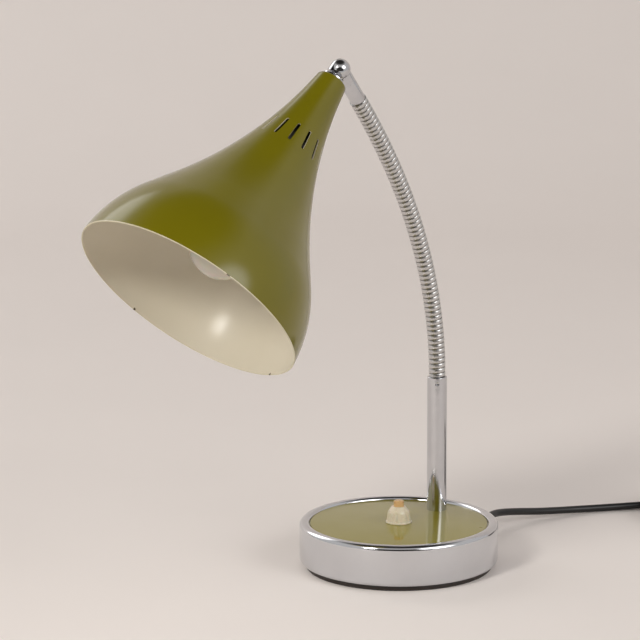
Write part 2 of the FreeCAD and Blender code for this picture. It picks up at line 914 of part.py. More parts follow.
# Opal globe, blown thin, with a drawn throat
def make_lamp_globe():
    start = lamp_foot() + lamp_foot_height + lamp_cap_length

    def globe_face(shrink):
        radius = lamp_globe_radius - shrink
        throat = lamp_throat_radius - shrink
        throat_end = start + shrink
        blend = lamp_throat_blend + shrink
        reach = radius + blend
        side = throat + blend
        centre_drop = math.sqrt(reach * reach - side * side)
        blend_centre_t = lamp_globe_centre - centre_drop
        meet = math.atan2(side, centre_drop)
        meet_r = radius * math.sin(meet)
        meet_t = lamp_globe_centre - radius * math.cos(meet)
        middle = (meet + math.pi / 2) / 2
        neck_mid = (side - blend * math.sin(middle), blend_centre_t + blend * math.cos(middle))
        low = lamp_globe_centre + radius
        half = (meet + math.pi) / 2
        side_r = radius * math.sin(half)
        side_t = lamp_globe_centre - radius * math.cos(half)
        spots = [
            point(0, 0, along_shade(throat_end)),
            point(throat, 0, along_shade(throat_end)),
            point(throat, 0, along_shade(blend_centre_t)),
            point(neck_mid[0], 0, along_shade(neck_mid[1])),
            point(meet_r, 0, along_shade(meet_t)),
            point(side_r, 0, along_shade(side_t)),
            point(0, 0, along_shade(low)),
        ]
        edges = [
            Part.LineSegment(spots[0], spots[1]).toShape(),
            Part.LineSegment(spots[1], spots[2]).toShape(),
            Part.Arc(spots[2], spots[3], spots[4]).toShape(),
            Part.Arc(spots[4], spots[5], spots[6]).toShape(),
            Part.LineSegment(spots[6], spots[0]).toShape(),
        ]
        return Part.Face(Part.Wire(edges))

    outside = globe_face(0).revolve(origin, z_axis, full_turn)
    inside = globe_face(lamp_glass_wall).revolve(origin, z_axis, full_turn)
    return moved(outside.cut(inside), head_place())


# Fluted collar: a domed nut with a thin flange and six upright grooves
def make_switch_collar():
    bottom = plate_top
    top = bottom + collar_height
    bore = barrel_radius + thread_gap
    shoulder = bottom + collar_shoulder_height
    collar = turned([
        (bore, bottom, 0),
        (collar_flange_radius, bottom, 0.3),
        (collar_flange_radius, bottom + collar_flange_height, 0.5),
        (collar_side_radius, bottom + collar_flange_height, 0.3),
        (collar_shoulder_radius, shoulder, collar_shoulder_round),
        (collar_top_radius, top, collar_edge_round),
        (button_radius + button_gap, top, 0),
        (button_radius + button_gap, top - barrel_top_clearance / 2, 0),
        (bore, top - barrel_top_clearance / 2, 0),
    ])
    lean_run = collar_side_radius - collar_shoulder_radius
    lean_rise = shoulder - bottom - collar_flange_height
    side = point(-lean_run, 0, lean_rise).normalize()
    foot = point(collar_side_radius + flute_radius - flute_depth, 0, bottom + collar_flange_height)
    flute = Part.makeCylinder(flute_radius, collar_height, foot, side)
    rounded_foot = Part.makeSphere(flute_radius, foot)
    cutter = flute.fuse(rounded_foot)
    above_flange = disc(2 * collar_flange_radius, bottom + collar_flange_height, top + collar_height)
    cutter = cutter.common(above_flange)
    cutters = [turned_about_z(cutter, flute_start + full_turn * k / flute_count) for k in range(flute_count)]
    return collar.cut(cutters)


def switch_top():
    return web_bottom


def spring_bottom():
    return switch_top() - spring_height - button_travel


def button_foot():
    return spring_bottom() + spring_height


# Threaded barrel of the switch, through the housing's top and the plate
def make_switch_barrel():
    top = plate_top + collar_height - barrel_top_clearance
    return tube(barrel_radius, button_radius + button_gap, switch_top(), top)


def make_push_button():
    top = plate_top + collar_height + button_rise
    crown_corner = (button_radius, top, button_crown)
    return turned([
        (0, button_foot(), 0),
        (button_radius, button_foot(), 0.3),
        crown_corner,
        (0, top, 0),
    ])


# Moulded switch housing under the top, with a well for the button's spring
def make_switch_body():
    body = Part.makeBox(switch_length, switch_width, switch_height)
    body.translate(point(-switch_length / 2, -switch_width / 2, switch_top() - switch_height))
    upright = [edge for edge in body.Edges if abs(edge.tangentAt(edge.FirstParameter).z) > 0.9]
    body = body.makeFillet(switch_round, upright)
    return body.cut(disc(switch_well_radius, spring_bottom(), switch_top() + 1))


# Return spring: one wire wound in six turns with flat-lying ends
def make_switch_spring():
    start_height = spring_bottom() + spring_wire / 2 + 0.05
    rise = spring_height - spring_wire - 0.1
    steps = 4 * spring_turns

    def spot(step):
        angle = 2 * math.pi * step / 4
        return point(spring_radius * math.cos(angle), spring_radius * math.sin(angle),
                     start_height + rise * step / steps)

    def way(step):
        angle = 2 * math.pi * step / 4
        climb = rise / spring_turns
        turn = 2 * math.pi * spring_radius
        return point(-math.sin(angle) * turn, math.cos(angle) * turn, climb).normalize()

    edges = []
    for step in range(steps):
        edges += arc_pair(spot(step), way(step), spot(step + 1), way(step + 1))
    return piped(edges, spring_wire / 2, spot(0), way(0))


# Two tags with their screws, on the ends of the switch housing
def make_switch_terminals():
    pieces = []
    middle = switch_top() - switch_height / 2
    for side in (-1, 1):
        face = side * switch_length / 2
        tag = Part.makeBox(terminal_thickness, terminal_width, terminal_height)
        low_x = face if side > 0 else face - terminal_thickness
        tag.translate(point(low_x, -terminal_width / 2, middle - terminal_height / 2))
        screw = Part.makeCylinder(terminal_screw_radius, terminal_screw_height,
                                  point(face + side * terminal_thickness, 0, middle), x_axis * side)
        pieces.append(tag.fuse(screw))
    return Part.makeCompound(pieces)


# Strain relief moulded on the cord: a grooved plug in the housing wall and a tapered sleeve
def make_cord_relief():
    flange_face = math.sqrt(shell_bore ** 2 - relief_flange_radius ** 2) - base_radius - relief_gap
    inside = flange_face - relief_flange_thickness
    collar_end = relief_collar_thickness
    end = cord_route[0][1] - base_radius
    relief = turned([
        (0, inside, 0),
        (relief_flange_radius, inside, 0.6),
        (relief_flange_radius, flange_face, 0),
        (relief_neck_radius, flange_face, 0),
        (relief_neck_radius, 0, 0),
        (relief_collar_radius, 0, 0),
        (relief_collar_radius, collar_end, 0.8),
        (relief_start_radius, collar_end, 0),
        (relief_end_radius, end, 0.5),
        (0, end, 0),
    ])
    rings = []
    for k in range(relief_groove_count):
        low = collar_end + relief_groove_pitch * (k + 0.6)
        share = (low - collar_end) / (end - collar_end)
        skin = relief_start_radius + (relief_end_radius - relief_start_radius) * share
        rings.append(tube(2 * skin, skin - relief_groove_depth, low, low + relief_groove))
    relief = relief.cut(rings)
    place = FreeCAD.Placement(point(0, base_radius, cord_height), FreeCAD.Rotation(x_axis, -90))
    return moved(relief, place)


def make_cord_run():
    edges, radii = route_edges(cord_route)
    start = point(*cord_route[0])
    way = (point(*cord_route[1]) - start).normalize()
    run = piped(edges, cord_radius, start, way)
    length = sum(edge.Length for edge in edges)
    print("cord run length", round(length, 1), "radii", [round(radius) for radius in radii])
    print("volume over section times length", round(run.Volume / (math.pi * cord_radius ** 2 * length), 4))
    return run, length


# The coil's frame: its centre on the floor, the way of the cord at its start, and the way inward.
# The frame is turned by the spiral's own slope, so that the coil starts square to the cord's end.
def coil_frame():
    start = point(*cord_route[-1])
    before = point(*cord_route[-2])
    ahead = point(start.x - before.x, start.y - before.y, 0).normalize()
    aside = point(ahead.y, -ahead.x, 0)
    outer = coil_mean_radius + coil_step * coil_loops_per_layer / 2
    slope = math.atan(coil_step / (2 * math.pi * outer))
    way = ahead * math.cos(slope) - aside * math.sin(slope)
    inward = aside * math.cos(slope) + ahead * math.sin(slope)
    centre = point(start.x, start.y, 0) + inward * outer
    return centre, way, inward, outer


# Radius and height of the coil's centreline after a number of loops. It spirals in and out
# again, with a rounded turn where it reverses, and climbs a layer there in half a turn.
def coil_place(loops):
    outer = coil_mean_radius + coil_step * coil_loops_per_layer / 2
    reversal = round(loops / coil_loops_per_layer)
    past = loops - reversal * coil_loops_per_layer
    away = abs(past)
    if 0 < reversal < coil_layers and away < coil_blend:
        away = past * past / (2 * coil_blend) + coil_blend / 2
    depth = away if reversal % 2 == 0 else coil_loops_per_layer - away
    share = min(max(past / coil_blend, -1.0), 1.0)
    if reversal in (0, coil_layers):
        share = 1.0 if reversal == 0 else -1.0
    eased = 0.5 + 0.75 * share - 0.25 * share ** 3
    layer = max(reversal - 1, 0) + (eased if reversal > 0 else 0.0)
    height = cord_radius + coil_floor_gap + coil_step * layer
    left = coil_layers * coil_loops_per_layer - loops
    if left < lead_climb_loops:
        height += lead_climb * (1 - left / lead_climb_loops) ** 2
    return outer - coil_step * depth, height


def coil_spot(loops):
    centre, way, inward, outer = coil_frame()
    radius, height = coil_place(loops)
    angle = 2 * math.pi * loops
    flat = way * math.sin(angle) - inward * math.cos(angle)
    return centre + flat * radius + z_axis * height


def coil_way(loops):
    step = 0.0005
    low = max(loops - step, 0.0)
    high = min(loops + step, coil_layers * coil_loops_per_layer)
    return (coil_spot(high) - coil_spot(low)).normalize()


def coil_top():
    return cord_radius + coil_floor_gap + coil_step * (coil_layers - 1) + cord_radius


# Where the cord enters the plug, which lies on the coil with its pins along the inward way
def plug_entry():
    centre, way, inward, outer = coil_frame()
    height = coil_top() + plug_thickness / 2 + plug_rest_gap
    shift = outer - plug_turn_radius
    return centre + way * plug_turn_radius - inward * shift + z_axis * height, inward


def make_cord_coil():
    total = coil_layers * coil_loops_per_layer
    steps = total * coil_steps_per_turn
    edges = []
    for step in range(steps):
        low = step / coil_steps_per_turn
        high = (step + 1) / coil_steps_per_turn
        edges += arc_pair(coil_spot(low), coil_way(low), coil_spot(high), coil_way(high))
    entry, entry_way = plug_entry()
    edges += arc_pair(coil_spot(total), coil_way(total), entry, entry_way)
    coil = piped(edges, cord_radius, coil_spot(0), coil_way(0))
    length = sum(edge.Length for edge in edges)
    print("coil length", round(length, 1), "loops", total)
    print("volume over section times length", round(coil.Volume / (math.pi * cord_radius ** 2 * length), 4))
    print("least gap of the coil to itself", round(least_self_gap(edges, cord_radius), 2))
    return coil, length


# Least distance between skins of parts of the path that lie more than half a turn apart
def least_self_gap(edges, radius):
    spots = []
    runs = []
    run = 0.0
    for edge in edges:
        for k in range(6):
            parameter = edge.FirstParameter + (edge.LastParameter - edge.FirstParameter) * k / 6
            spots.append(edge.valueAt(parameter))
            runs.append(run + edge.Length * k / 6)
        run += edge.Length
    apart = math.pi * coil_mean_radius
    least = 1e9
    for i in range(len(spots)):
        for j in range(i + 1, len(spots)):
            if runs[j] - runs[i] > apart:
                least = min(least, (spots[i] - spots[j]).Length)
    return least - 2 * radius


# A flat strap once round the coil's bundle of turns
def make_cord_tie():
    centre, way, inward, outer = coil_frame()
    crossed = [coil_place(tie_share + loop) for loop in range(coil_layers * coil_loops_per_layer)]
    low_r = min(place[0] for place in crossed) - cord_radius - tie_gap
    high_r = max(place[0] for place in crossed) + cord_radius + tie_gap
    low_z = coil_floor_gap - tie_rest
    high_z = coil_top() + tie_rest

    def band(out):
        bend = cord_radius + out
        outline = rounded_outline([
            (low_r - out, low_z - out, bend),
            (high_r + out, low_z - out, bend),
            (high_r + out, high_z + out, bend),
            (low_r - out, high_z + out, bend),
        ])
        return Part.Face(outline).extrude(y_axis * tie_width)

    strap = band(tie_thickness).cut(band(0))
    strap.translate(point(0, -tie_width / 2, 0))
    start = math.degrees(math.atan2(-inward.y, -inward.x))
    return moved(strap, FreeCAD.Placement(centre, FreeCAD.Rotation(z_axis, start - full_turn * tie_share)))


# The plug's frame: Z along its pins, Y up, origin where the cord goes in
def plug_place():
    entry, way = plug_entry()
    across = z_axis.cross(way)
    return FreeCAD.Placement(entry, FreeCAD.Rotation(across, z_axis, way, "ZYX"))


def make_plug_body():
    half = plug_width / 2
    rear = plug_rear_width / 2
    start = plug_boot_length
    end = start + plug_length
    widest = start + plug_length * plug_taper_share
    outline = rounded_outline([
        (-rear, start, plug_rear_round),
        (rear, start, plug_rear_round),
        (half, widest, plug_side_round),
        (half, end, plug_front_round),
        (-half, end, plug_front_round),
        (-half, widest, plug_side_round),
    ])
    body = Part.Face(outline).extrude(y_axis * plug_thickness)
    body.translate(point(0, -plug_thickness / 2, 0))
    level = [edge for edge in body.Edges
             if abs(abs(edge.BoundBox.YMin) - plug_thickness / 2) < 0.01
             and edge.BoundBox.YMax - edge.BoundBox.YMin < 0.01]
    body = body.makeFillet(plug_edge_round, level)
    boot = Part.makeCone(plug_boot_end_radius, plug_boot_start_radius, start + 1, origin, z_axis)
    return moved(body.fuse(boot), plug_place())


def make_plug_pins():
    end = plug_boot_length + plug_length
    pins = []
    for side in (-1, 1):
        pin = turned([
            (0, end, 0),
            (pin_radius, end, 0),
            (pin_radius, end + pin_length, 1.2),
            (0, end + pin_length, 0),
        ])
        pin.translate(point(side * pin_spacing / 2, 0, 0))
        pins.append(pin)
    return moved(Part.makeCompound(pins), plug_place())


save("base_shell", make_base_shell())
save("top_plate", make_top_plate())
save("base_weight", make_base_weight())
save("bottom_cover", make_bottom_cover())
save("cover_screws", make_cover_screws())
save("stem_tube", make_stem_tube())
save("stem_plug", make_stem_plug())
save("stem_nipple", make_stem_nipple())
save("stem_washer", make_stem_washer())
save("stem_nut", make_stem_nut())
for number in range(neck_lengths):
    save("neck_{:02d}".format(number + 1), make_neck_length(number))
save("neck_ferrule", make_ferrule())
save("lower_knuckle", make_lower_knuckle())
save("upper_knuckle", make_upper_knuckle())
save("pivot_screw", make_pivot_screw())
save("shade", make_shade())
save("shade_lock_nut", make_lock_nut())
save("holder_coupling", make_holder_coupling())
save("holder_nipple", make_holder_nipple())
save("holder_cap", make_holder_cap())
save("holder_skirt", make_holder_skirt())
save("holder_insert", make_holder_insert())
save("thread_sleeve", make_thread_sleeve())
save("centre_contact", make_centre_contact())
save("lamp_cap", make_lamp_cap())
save("lamp_globe", make_lamp_globe())
save("switch_collar", make_switch_collar())
save("switch_barrel", make_switch_barrel())
save("push_button", make_push_button())
save("switch_body", make_switch_body())
save("switch_spring", make_switch_spring())
save("switch_terminals", make_switch_terminals())
save("cord_relief", make_cord_relief())
cord_run, run_length = make_cord_run()
save("cord_run", cord_run)
cord_coil, coil_length = make_cord_coil()
save("cord_coil", cord_coil)
save("cord_tie", make_cord_tie())
save("plug_body", make_plug_body())
save("plug_pins", make_plug_pins())

print("whole cord", round(run_length + coil_length, 1))
pivot = head_place().Base
print("pivot", [round(value, 4) for value in pivot])
print("hinge pin axis", [round(value, 6) for value in knuckle_place().Rotation.multVec(x_axis)])
print("shade axis", [round(value, 6) for value in head_place().Rotation.multVec(z_axis)])
for number in range(1, neck_lengths):
    spot, lean = neck_at(number * neck_length_each)
    print("neck joint", number, [round(value, 4) for value in spot], round(math.degrees(lean), 4))
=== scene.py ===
import math

import bmesh
import bpy
import numpy as np
from mathutils import Matrix, Vector


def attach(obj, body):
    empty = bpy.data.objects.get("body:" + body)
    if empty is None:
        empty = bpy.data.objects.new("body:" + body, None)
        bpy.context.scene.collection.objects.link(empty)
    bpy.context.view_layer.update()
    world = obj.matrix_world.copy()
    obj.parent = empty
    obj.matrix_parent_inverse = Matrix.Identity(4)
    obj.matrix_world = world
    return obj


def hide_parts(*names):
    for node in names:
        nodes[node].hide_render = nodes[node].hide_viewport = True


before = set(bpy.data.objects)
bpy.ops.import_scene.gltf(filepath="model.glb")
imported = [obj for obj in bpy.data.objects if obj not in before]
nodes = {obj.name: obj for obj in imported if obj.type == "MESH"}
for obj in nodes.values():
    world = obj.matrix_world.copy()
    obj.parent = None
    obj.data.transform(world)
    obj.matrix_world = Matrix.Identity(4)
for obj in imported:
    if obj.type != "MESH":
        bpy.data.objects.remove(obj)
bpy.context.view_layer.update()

mm = 0.001
fullTurn = 2 * math.pi

# Everything is in metres in the lamp's own frame: +Z up, the stem behind on +Y, the shade towards -Y.

cameraView = {
    "place": (1.20512, -1.59707, 0.57619),
    "turn": 38.61,        # degrees, from looking along +Y
    "pitch": 11.30,       # degrees, looking down
    "roll": -0.229,
    "focal": 165.13,      # for a 36 mm frame
}


def makeCamera(view):
    turn, pitch, roll = (math.radians(view[key]) for key in ("turn", "pitch", "roll"))
    ahead = np.array([-math.sin(turn) * math.cos(pitch), math.cos(turn) * math.cos(pitch), -math.sin(pitch)])
    right = np.array([math.cos(turn), math.sin(turn), 0.0])
    above = np.cross(right, ahead)
    side = math.cos(roll) * right + math.sin(roll) * above
    above = np.cross(side, ahead)
    data = bpy.data.cameras.new("photoCamera")
    data.lens = view["focal"]
    data.sensor_width = 36.0
    data.clip_end = 20.0
    camera = bpy.data.objects.new("photoCamera", data)
    bpy.context.scene.collection.objects.link(camera)
    place = Matrix.Identity(4)
    for row in range(3):
        place[row][0], place[row][1], place[row][2] = side[row], above[row], -ahead[row]
        place[row][3] = view["place"][row]
    camera.matrix_world = place
    bpy.context.scene.camera = camera
    return camera


camera = makeCamera(cameraView)
print("camera set")


# ---- small tools for surfaces

def linkMesh(name, mesh):
    piece = bpy.data.objects.new(name, mesh)
    bpy.context.scene.collection.objects.link(piece)
    return piece


# A grid of points (rows, columns, 3) becomes quads. Rows or columns may close on themselves.
def gridFaces(rows, columns, closeRows, closeColumns):
    row = np.arange(rows if closeRows else rows - 1)
    column = np.arange(columns if closeColumns else columns - 1)
    low, left = np.meshgrid(row, column, indexing="ij")
    high = (low + 1) % rows
    right = (left + 1) % columns
    corners = [low * columns + left, low * columns + right, high * columns + right, high * columns + left]
    return np.stack(corners, -1).reshape(-1, 4)


def meshFromGrid(name, points, closeRows=False, closeColumns=True, sharp=35.0):
    rows, columns = points.shape[:2]
    faces = gridFaces(rows, columns, closeRows, closeColumns)
    mesh = bpy.data.meshes.new(name)
    mesh.from_pydata(points.reshape(-1, 3).tolist(), [], faces.tolist())
    work = bmesh.new()
    work.from_mesh(mesh)
    bmesh.ops.remove_doubles(work, verts=work.verts, dist=1e-7)
    bmesh.ops.dissolve_degenerate(work, edges=work.edges, dist=1e-7)
    bmesh.ops.recalc_face_normals(work, faces=work.faces)
    work.to_mesh(mesh)
    work.free()
    smoothMesh(mesh, sharp)
    return mesh


def smoothMesh(mesh, sharp):
    mesh.polygons.foreach_set("use_smooth", np.ones(len(mesh.polygons), bool))
    mesh.set_sharp_from_angle(angle=math.radians(sharp))


# Corners (radius, height, rounding) in mm become a closed outline with an arc at each rounded corner.
def roundedOutline(corners, arcSteps=8):
    spots = np.array([corner[:2] for corner in corners], float)
    outline = []
    count = len(corners)
    for k in range(count):
        here, rounding = spots[k], corners[k][2]
        if rounding <= 0:
            outline.append(here)
            continue
        back = spots[k - 1] - here
        ahead = spots[(k + 1) % count] - here
        back, ahead = back / np.linalg.norm(back), ahead / np.linalg.norm(ahead)
        half = math.acos(np.clip(back @ ahead, -1, 1)) / 2
        inward = (back + ahead) / np.linalg.norm(back + ahead)
        centre = here + inward * rounding / math.sin(half)
        start = here + back * rounding / math.tan(half) - centre
        end = here + ahead * rounding / math.tan(half) - centre
        sweep = math.pi - 2 * half
        for share in np.linspace(0, 1, arcSteps + 1):
            outline.append(centre + (start * math.sin((1 - share) * sweep) + end * math.sin(share * sweep)) / math.sin(sweep))
    return np.array(outline)


# Turned surface: (radius, height) swept about an axis, point = place * (r cos a, r sin a, h).
def turnedMesh(name, outline, place, steps=128, swell=None, sharp=35.0):
    angle = np.arange(steps) * fullTurn / steps
    radius = np.repeat(outline[:, :1], steps, 1)
    height = np.repeat(outline[:, 1:], steps, 1)
    if swell is not None:
        radius = radius + swell(angle[None, :], height, radius)
    local = np.stack([radius * np.cos(angle), radius * np.sin(angle), height], -1) * mm
    points = local @ np.array(place.to_3x3()).T + np.array(place.translation)
    return meshFromGrid(name, points, closeRows=True, sharp=sharp)


def addPiece(name, mesh, body, materials, replaced=()):
    piece = linkMesh(name, mesh)
    for material in materials:
        mesh.materials.append(material)
    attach(piece, body)
    if replaced:
        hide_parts(*replaced)
    return piece


# ---- where the gooseneck and the head are, worked out as they were built

neck = {
    "foot": (0.0, 45.0, 128.5),     # mm, the stem's mouth
    "lengths": 16,
    "each": 14.4,
    "turnLow": 3.77,                # degrees in the first length
    "turnHigh": 1.325,              # degrees in the last length
    "pitch": 3.6,
    "crown": 6.0,
    "root": 5.45,
    "ribPower": 2.8,
    "ribSteps": 14,
    "aroundSteps": 48,
    "ball": 5.35,                   # end of a length, which sits in the socket of the next
    "socket": 5.42,
    "inStem": 4.0,
}
head = {"pivotRun": 29.55, "turn": -4.88, "tilt": -86.0, "drop": 10.2}

neckTotal = neck["lengths"] * neck["each"]
turns = np.radians(np.linspace(neck["turnLow"], neck["turnHigh"], neck["lengths"]))
leanKnots = np.concatenate([[0.0], np.cumsum(turns)])
runKnots = np.arange(neck["lengths"] + 1) * neck["each"]
fineRuns = np.linspace(-10.0, neckTotal, 9617)
fineLean = np.interp(fineRuns, runKnots, leanKnots)
stepLength = fineRuns[1] - fineRuns[0]
middleLean = (fineLean[1:] + fineLean[:-1]) / 2
fineY = np.concatenate([[0.0], np.cumsum(-np.sin(middleLean) * stepLength)])
fineZ = np.concatenate([[0.0], np.cumsum(np.cos(middleLean) * stepLength)])
fineY += neck["foot"][1] - np.interp(0.0, fineRuns, fineY)
fineZ += neck["foot"][2] - np.interp(0.0, fineRuns, fineZ)


# Axis of the gooseneck at a run in mm: position, and lean in radians towards -Y.
def neckAxis(run):
    y = np.interp(run, fineRuns, fineY)
    z = np.interp(run, fineRuns, fineZ)
    return np.stack([np.zeros_like(y), y, z], -1), np.interp(run, fineRuns, fineLean)


endSpot, endLean = neckAxis(np.array([neckTotal]))
neckEnd = Matrix.Translation(Vector(endSpot[0] * mm)) @ Matrix.Rotation(float(endLean[0]), 4, "X")
knucklePlace = neckEnd @ Matrix.Translation((0, 0, head["pivotRun"] * mm)) @ Matrix.Rotation(math.radians(head["turn"]), 4, "Z")
headPlace = knucklePlace @ Matrix.Rotation(math.radians(head["tilt"]), 4, "X")
stemPlace = Matrix.Translation((0, neck["foot"][1] * mm, 0))
straight = Matrix.Identity(4)


def neckBody(number):
    return "base" if number == 1 else f"neck_length_{number:02d}"


# ---- materials

def colour(code):
    channels = [int(code[k:k + 2], 16) / 255 for k in (1, 3, 5)]
    return tuple(c / 12.92 if c <= 0.04045 else ((c + 0.055) / 1.055) ** 2.4 for c in channels) + (1.0,)


def addNode(tree, kind, inputs=None, **settings):
    node = tree.nodes.new("ShaderNode" + kind)
    for key, value in settings.items():
        setattr(node, key, value)
    for key, value in (inputs or {}).items():
        if isinstance(value, bpy.types.NodeSocket):
            tree.links.new(value, node.inputs[key])
        else:
            node.inputs[key].default_value = value
    return node


# A pattern whose features are this many millimetres apart, on Object coordinates in metres.
def scaleFor(size):
    return 1.0 / (size * mm)


# Blend of two colours or colour sockets by a factor socket.
def mixColours(tree, factor, first, second):
    node = addNode(tree, "Mix", {"Factor": factor}, data_type="RGBA")
    for index, value in ((6, first), (7, second)):
        if isinstance(value, bpy.types.NodeSocket):
            tree.links.new(value, node.inputs[index])
        else:
            node.inputs[index].default_value = colour(value)
    return node.outputs[2]


def startMaterial(name):
    material = bpy.data.materials.new(name)
    material.use_nodes = True
    tree = material.node_tree
    shader = tree.nodes["Principled BSDF"]
    spot = addNode(tree, "TexCoord").outputs["Object"]
    return material, tree, shader, spot


# One base for most finishes: cloudy colour and gloss over "cloud" mm, and fine relief over "grain" mm.
def makeFinish(name, finish):
    material, tree, shader, spot = startMaterial(name)
    cloud = addNode(tree, "TexNoise", {"Vector": spot, "Scale": scaleFor(finish["cloud"]), "Detail": 4.0, "Roughness": 0.6})
    grain = addNode(tree, "TexNoise", {"Vector": spot, "Scale": scaleFor(finish["grain"]), "Detail": 2.0})
    tone = mixColours(tree, cloud.outputs["Fac"], finish["light"], finish["dark"])
    if "crazing" in finish:
        cell, line = finish["crazing"]
        web = addNode(tree, "TexVoronoi", {"Vector": spot, "Scale": scaleFor(cell)}, feature="DISTANCE_TO_EDGE")
        crack = addNode(tree, "MapRange", {"Value": web.outputs["Distance"], "From Max": 0.035, "To Min": 0.28, "To Max": 0.0})
        tone = mixColours(tree, crack.outputs["Result"], tone, line)
    gloss = addNode(tree, "MapRange", {"Value": cloud.outputs["Fac"], "From Min": 0.3, "From Max": 0.7,
                                       "To Min": finish["smooth"], "To Max": finish["rough"]})
    relief = addNode(tree, "Bump", {"Height": grain.outputs["Fac"], "Strength": finish["relief"], "Distance": 0.1 * mm})
    tree.links.new(tone, shader.inputs["Base Color"])
    tree.links.new(gloss.outputs["Result"], shader.inputs["Roughness"])
    tree.links.new(relief.outputs["Normal"], shader.inputs["Normal"])
    shader.inputs["Metallic"].default_value = finish.get("metallic", 0.0)
    for socket, value in finish.get("sockets", {}).items():
        shader.inputs[socket].default_value = value
    return material


# What each real finish gives the eye is said beside it.
finishes = {
    # Chromium over nickel on pressed steel, buffed: a cold mirror, a little hazed by wiping.
    "polishedChromePlate": {"light": "#d9dadd", "dark": "#cdced2", "cloud": 22.0, "grain": 1.2,
                            "smooth": 0.05, "rough": 0.11, "relief": 0.02, "metallic": 1.0},
    # The same plate on drawn tube and turned brass, slightly softer.
    "chromePlatedTube": {"light": "#d1d1d3", "dark": "#c2c2c5", "cloud": 9.0, "grain": 0.8,
                         "smooth": 0.08, "rough": 0.15, "relief": 0.03, "metallic": 1.0},
    # Injection-moulded dark brown plastic: a soft satin with fine spark texture.
    "brownMouldedPlastic": {"light": "#2a1f18", "dark": "#201711", "cloud": 12.0, "grain": 0.5,
                            "smooth": 0.38, "rough": 0.5, "relief": 0.25},
    # Urea moulding, ivory with age: dense, glossy, with fine brown age cracks.
    "ivoryUreaMoulding": {"light": "#ded3bd", "dark": "#d3c6aa", "crazing": (5.5, "#b39a78"), "cloud": 6.0, "grain": 0.9,
                          "smooth": 0.2, "rough": 0.3, "relief": 0.06,
                          "sockets": {"Coat Weight": 0.3, "Coat Roughness": 0.12, "Subsurface Weight": 0.12, "Subsurface Scale": 0.8 * mm}},
    # Aged amber moulding of the button: slightly translucent.
    "amberUreaMoulding": {"light": "#d9b27c", "dark": "#c99e66", "cloud": 3.0, "grain": 0.9,
                          "smooth": 0.2, "rough": 0.32, "relief": 0.05,
                          "sockets": {"Coat Weight": 0.3, "Coat Roughness": 0.15, "Subsurface Weight": 0.2, "Subsurface Scale": 1.0 * mm}},
    # Compression-moulded phenolic: hard, near black, with a faint flow mottle.
    "blackPhenolic": {"light": "#2b2624", "dark": "#1b1817", "cloud": 5.0, "grain": 0.6,
                      "smooth": 0.22, "rough": 0.36, "relief": 0.08},
    # Glazed porcelain: cold white gloss over a slightly wavy body.
    "glazedPorcelain": {"light": "#efece4", "dark": "#e2ddd0", "cloud": 4.0, "grain": 1.5,
                        "smooth": 0.08, "rough": 0.16, "relief": 0.08},
    # Plain pressed brass, dulled in the air.
    "plainBrass": {"light": "#c9a259", "dark": "#a5803f", "cloud": 4.0, "grain": 0.5,
                   "smooth": 0.24, "rough": 0.42, "relief": 0.1, "metallic": 1.0},
    # Zinc plate on cut steel: pale grey with a dull crystalline bloom.
    "zincPlatedSteel": {"light": "#b9bbbd", "dark": "#94979b", "cloud": 3.0, "grain": 0.4,
                        "smooth": 0.3, "rough": 0.5, "relief": 0.15, "metallic": 1.0},
    # Sand-cast iron, oiled: dark and pitted.
    "castIron": {"light": "#4b4846", "dark": "#2d2b2a", "cloud": 8.0, "grain": 1.0,
                 "smooth": 0.55, "rough": 0.8, "relief": 0.6, "metallic": 0.8},
    # Rolled aluminium of the lamp's screw cap.
    "rolledAluminium": {"light": "#d3d3d1", "dark": "#b4b4b2", "cloud": 4.0, "grain": 0.4,
                        "smooth": 0.25, "rough": 0.4, "relief": 0.1, "metallic": 1.0},
    # Extruded flexible sheath: near black with a soft shine along its length.
    "blackCordSheath": {"light": "#1b1a1a", "dark": "#121111", "cloud": 14.0, "grain": 0.7,
                        "smooth": 0.3, "rough": 0.42, "relief": 0.12},
    # Moulded flexible plastic of the relief, strap and plug: a little duller.
    "blackMouldedPlastic": {"light": "#201f1e", "dark": "#151414", "cloud": 8.0, "grain": 0.5,
                            "smooth": 0.4, "rough": 0.52, "relief": 0.25},
    # Nickel on the plug's brass pins.
    "nickelPlatedBrass": {"light": "#cfc9ba", "dark": "#b5ae9d", "cloud": 5.0, "grain": 0.4,
                          "smooth": 0.15, "rough": 0.28, "relief": 0.05, "metallic": 1.0},
    # Bright drawn spring wire.
    "drawnSpringWire": {"light": "#b9b9b9", "dark": "#8e8e8e", "cloud": 2.0, "grain": 0.3,
                        "smooth": 0.2, "rough": 0.35, "relief": 0.1, "metallic": 1.0},
}
made = {name: makeFinish(name, finish) for name, finish in finishes.items()}

enamel = {
    "olive": "#726a08",
    "oliveDeep": "#696106",
    # painted light: the disc's olive is a lighter copy of the shade's, for the light on its upward face
    "disc": "#8d830f",
    "discDeep": "#857b0c",
    # painted shade inside the bell's neck
    "paintedNeckShade": "#1d1a17",
    "cream": "#e1d9c7",
    "creamShade": "#d8cfba",
    "edge": "#c9bf9a",
    "chip": "#5f5443",
    "peel": 2.2,             # mm between the waves that stoved paint dries with
    "cloud": 45.0,
}
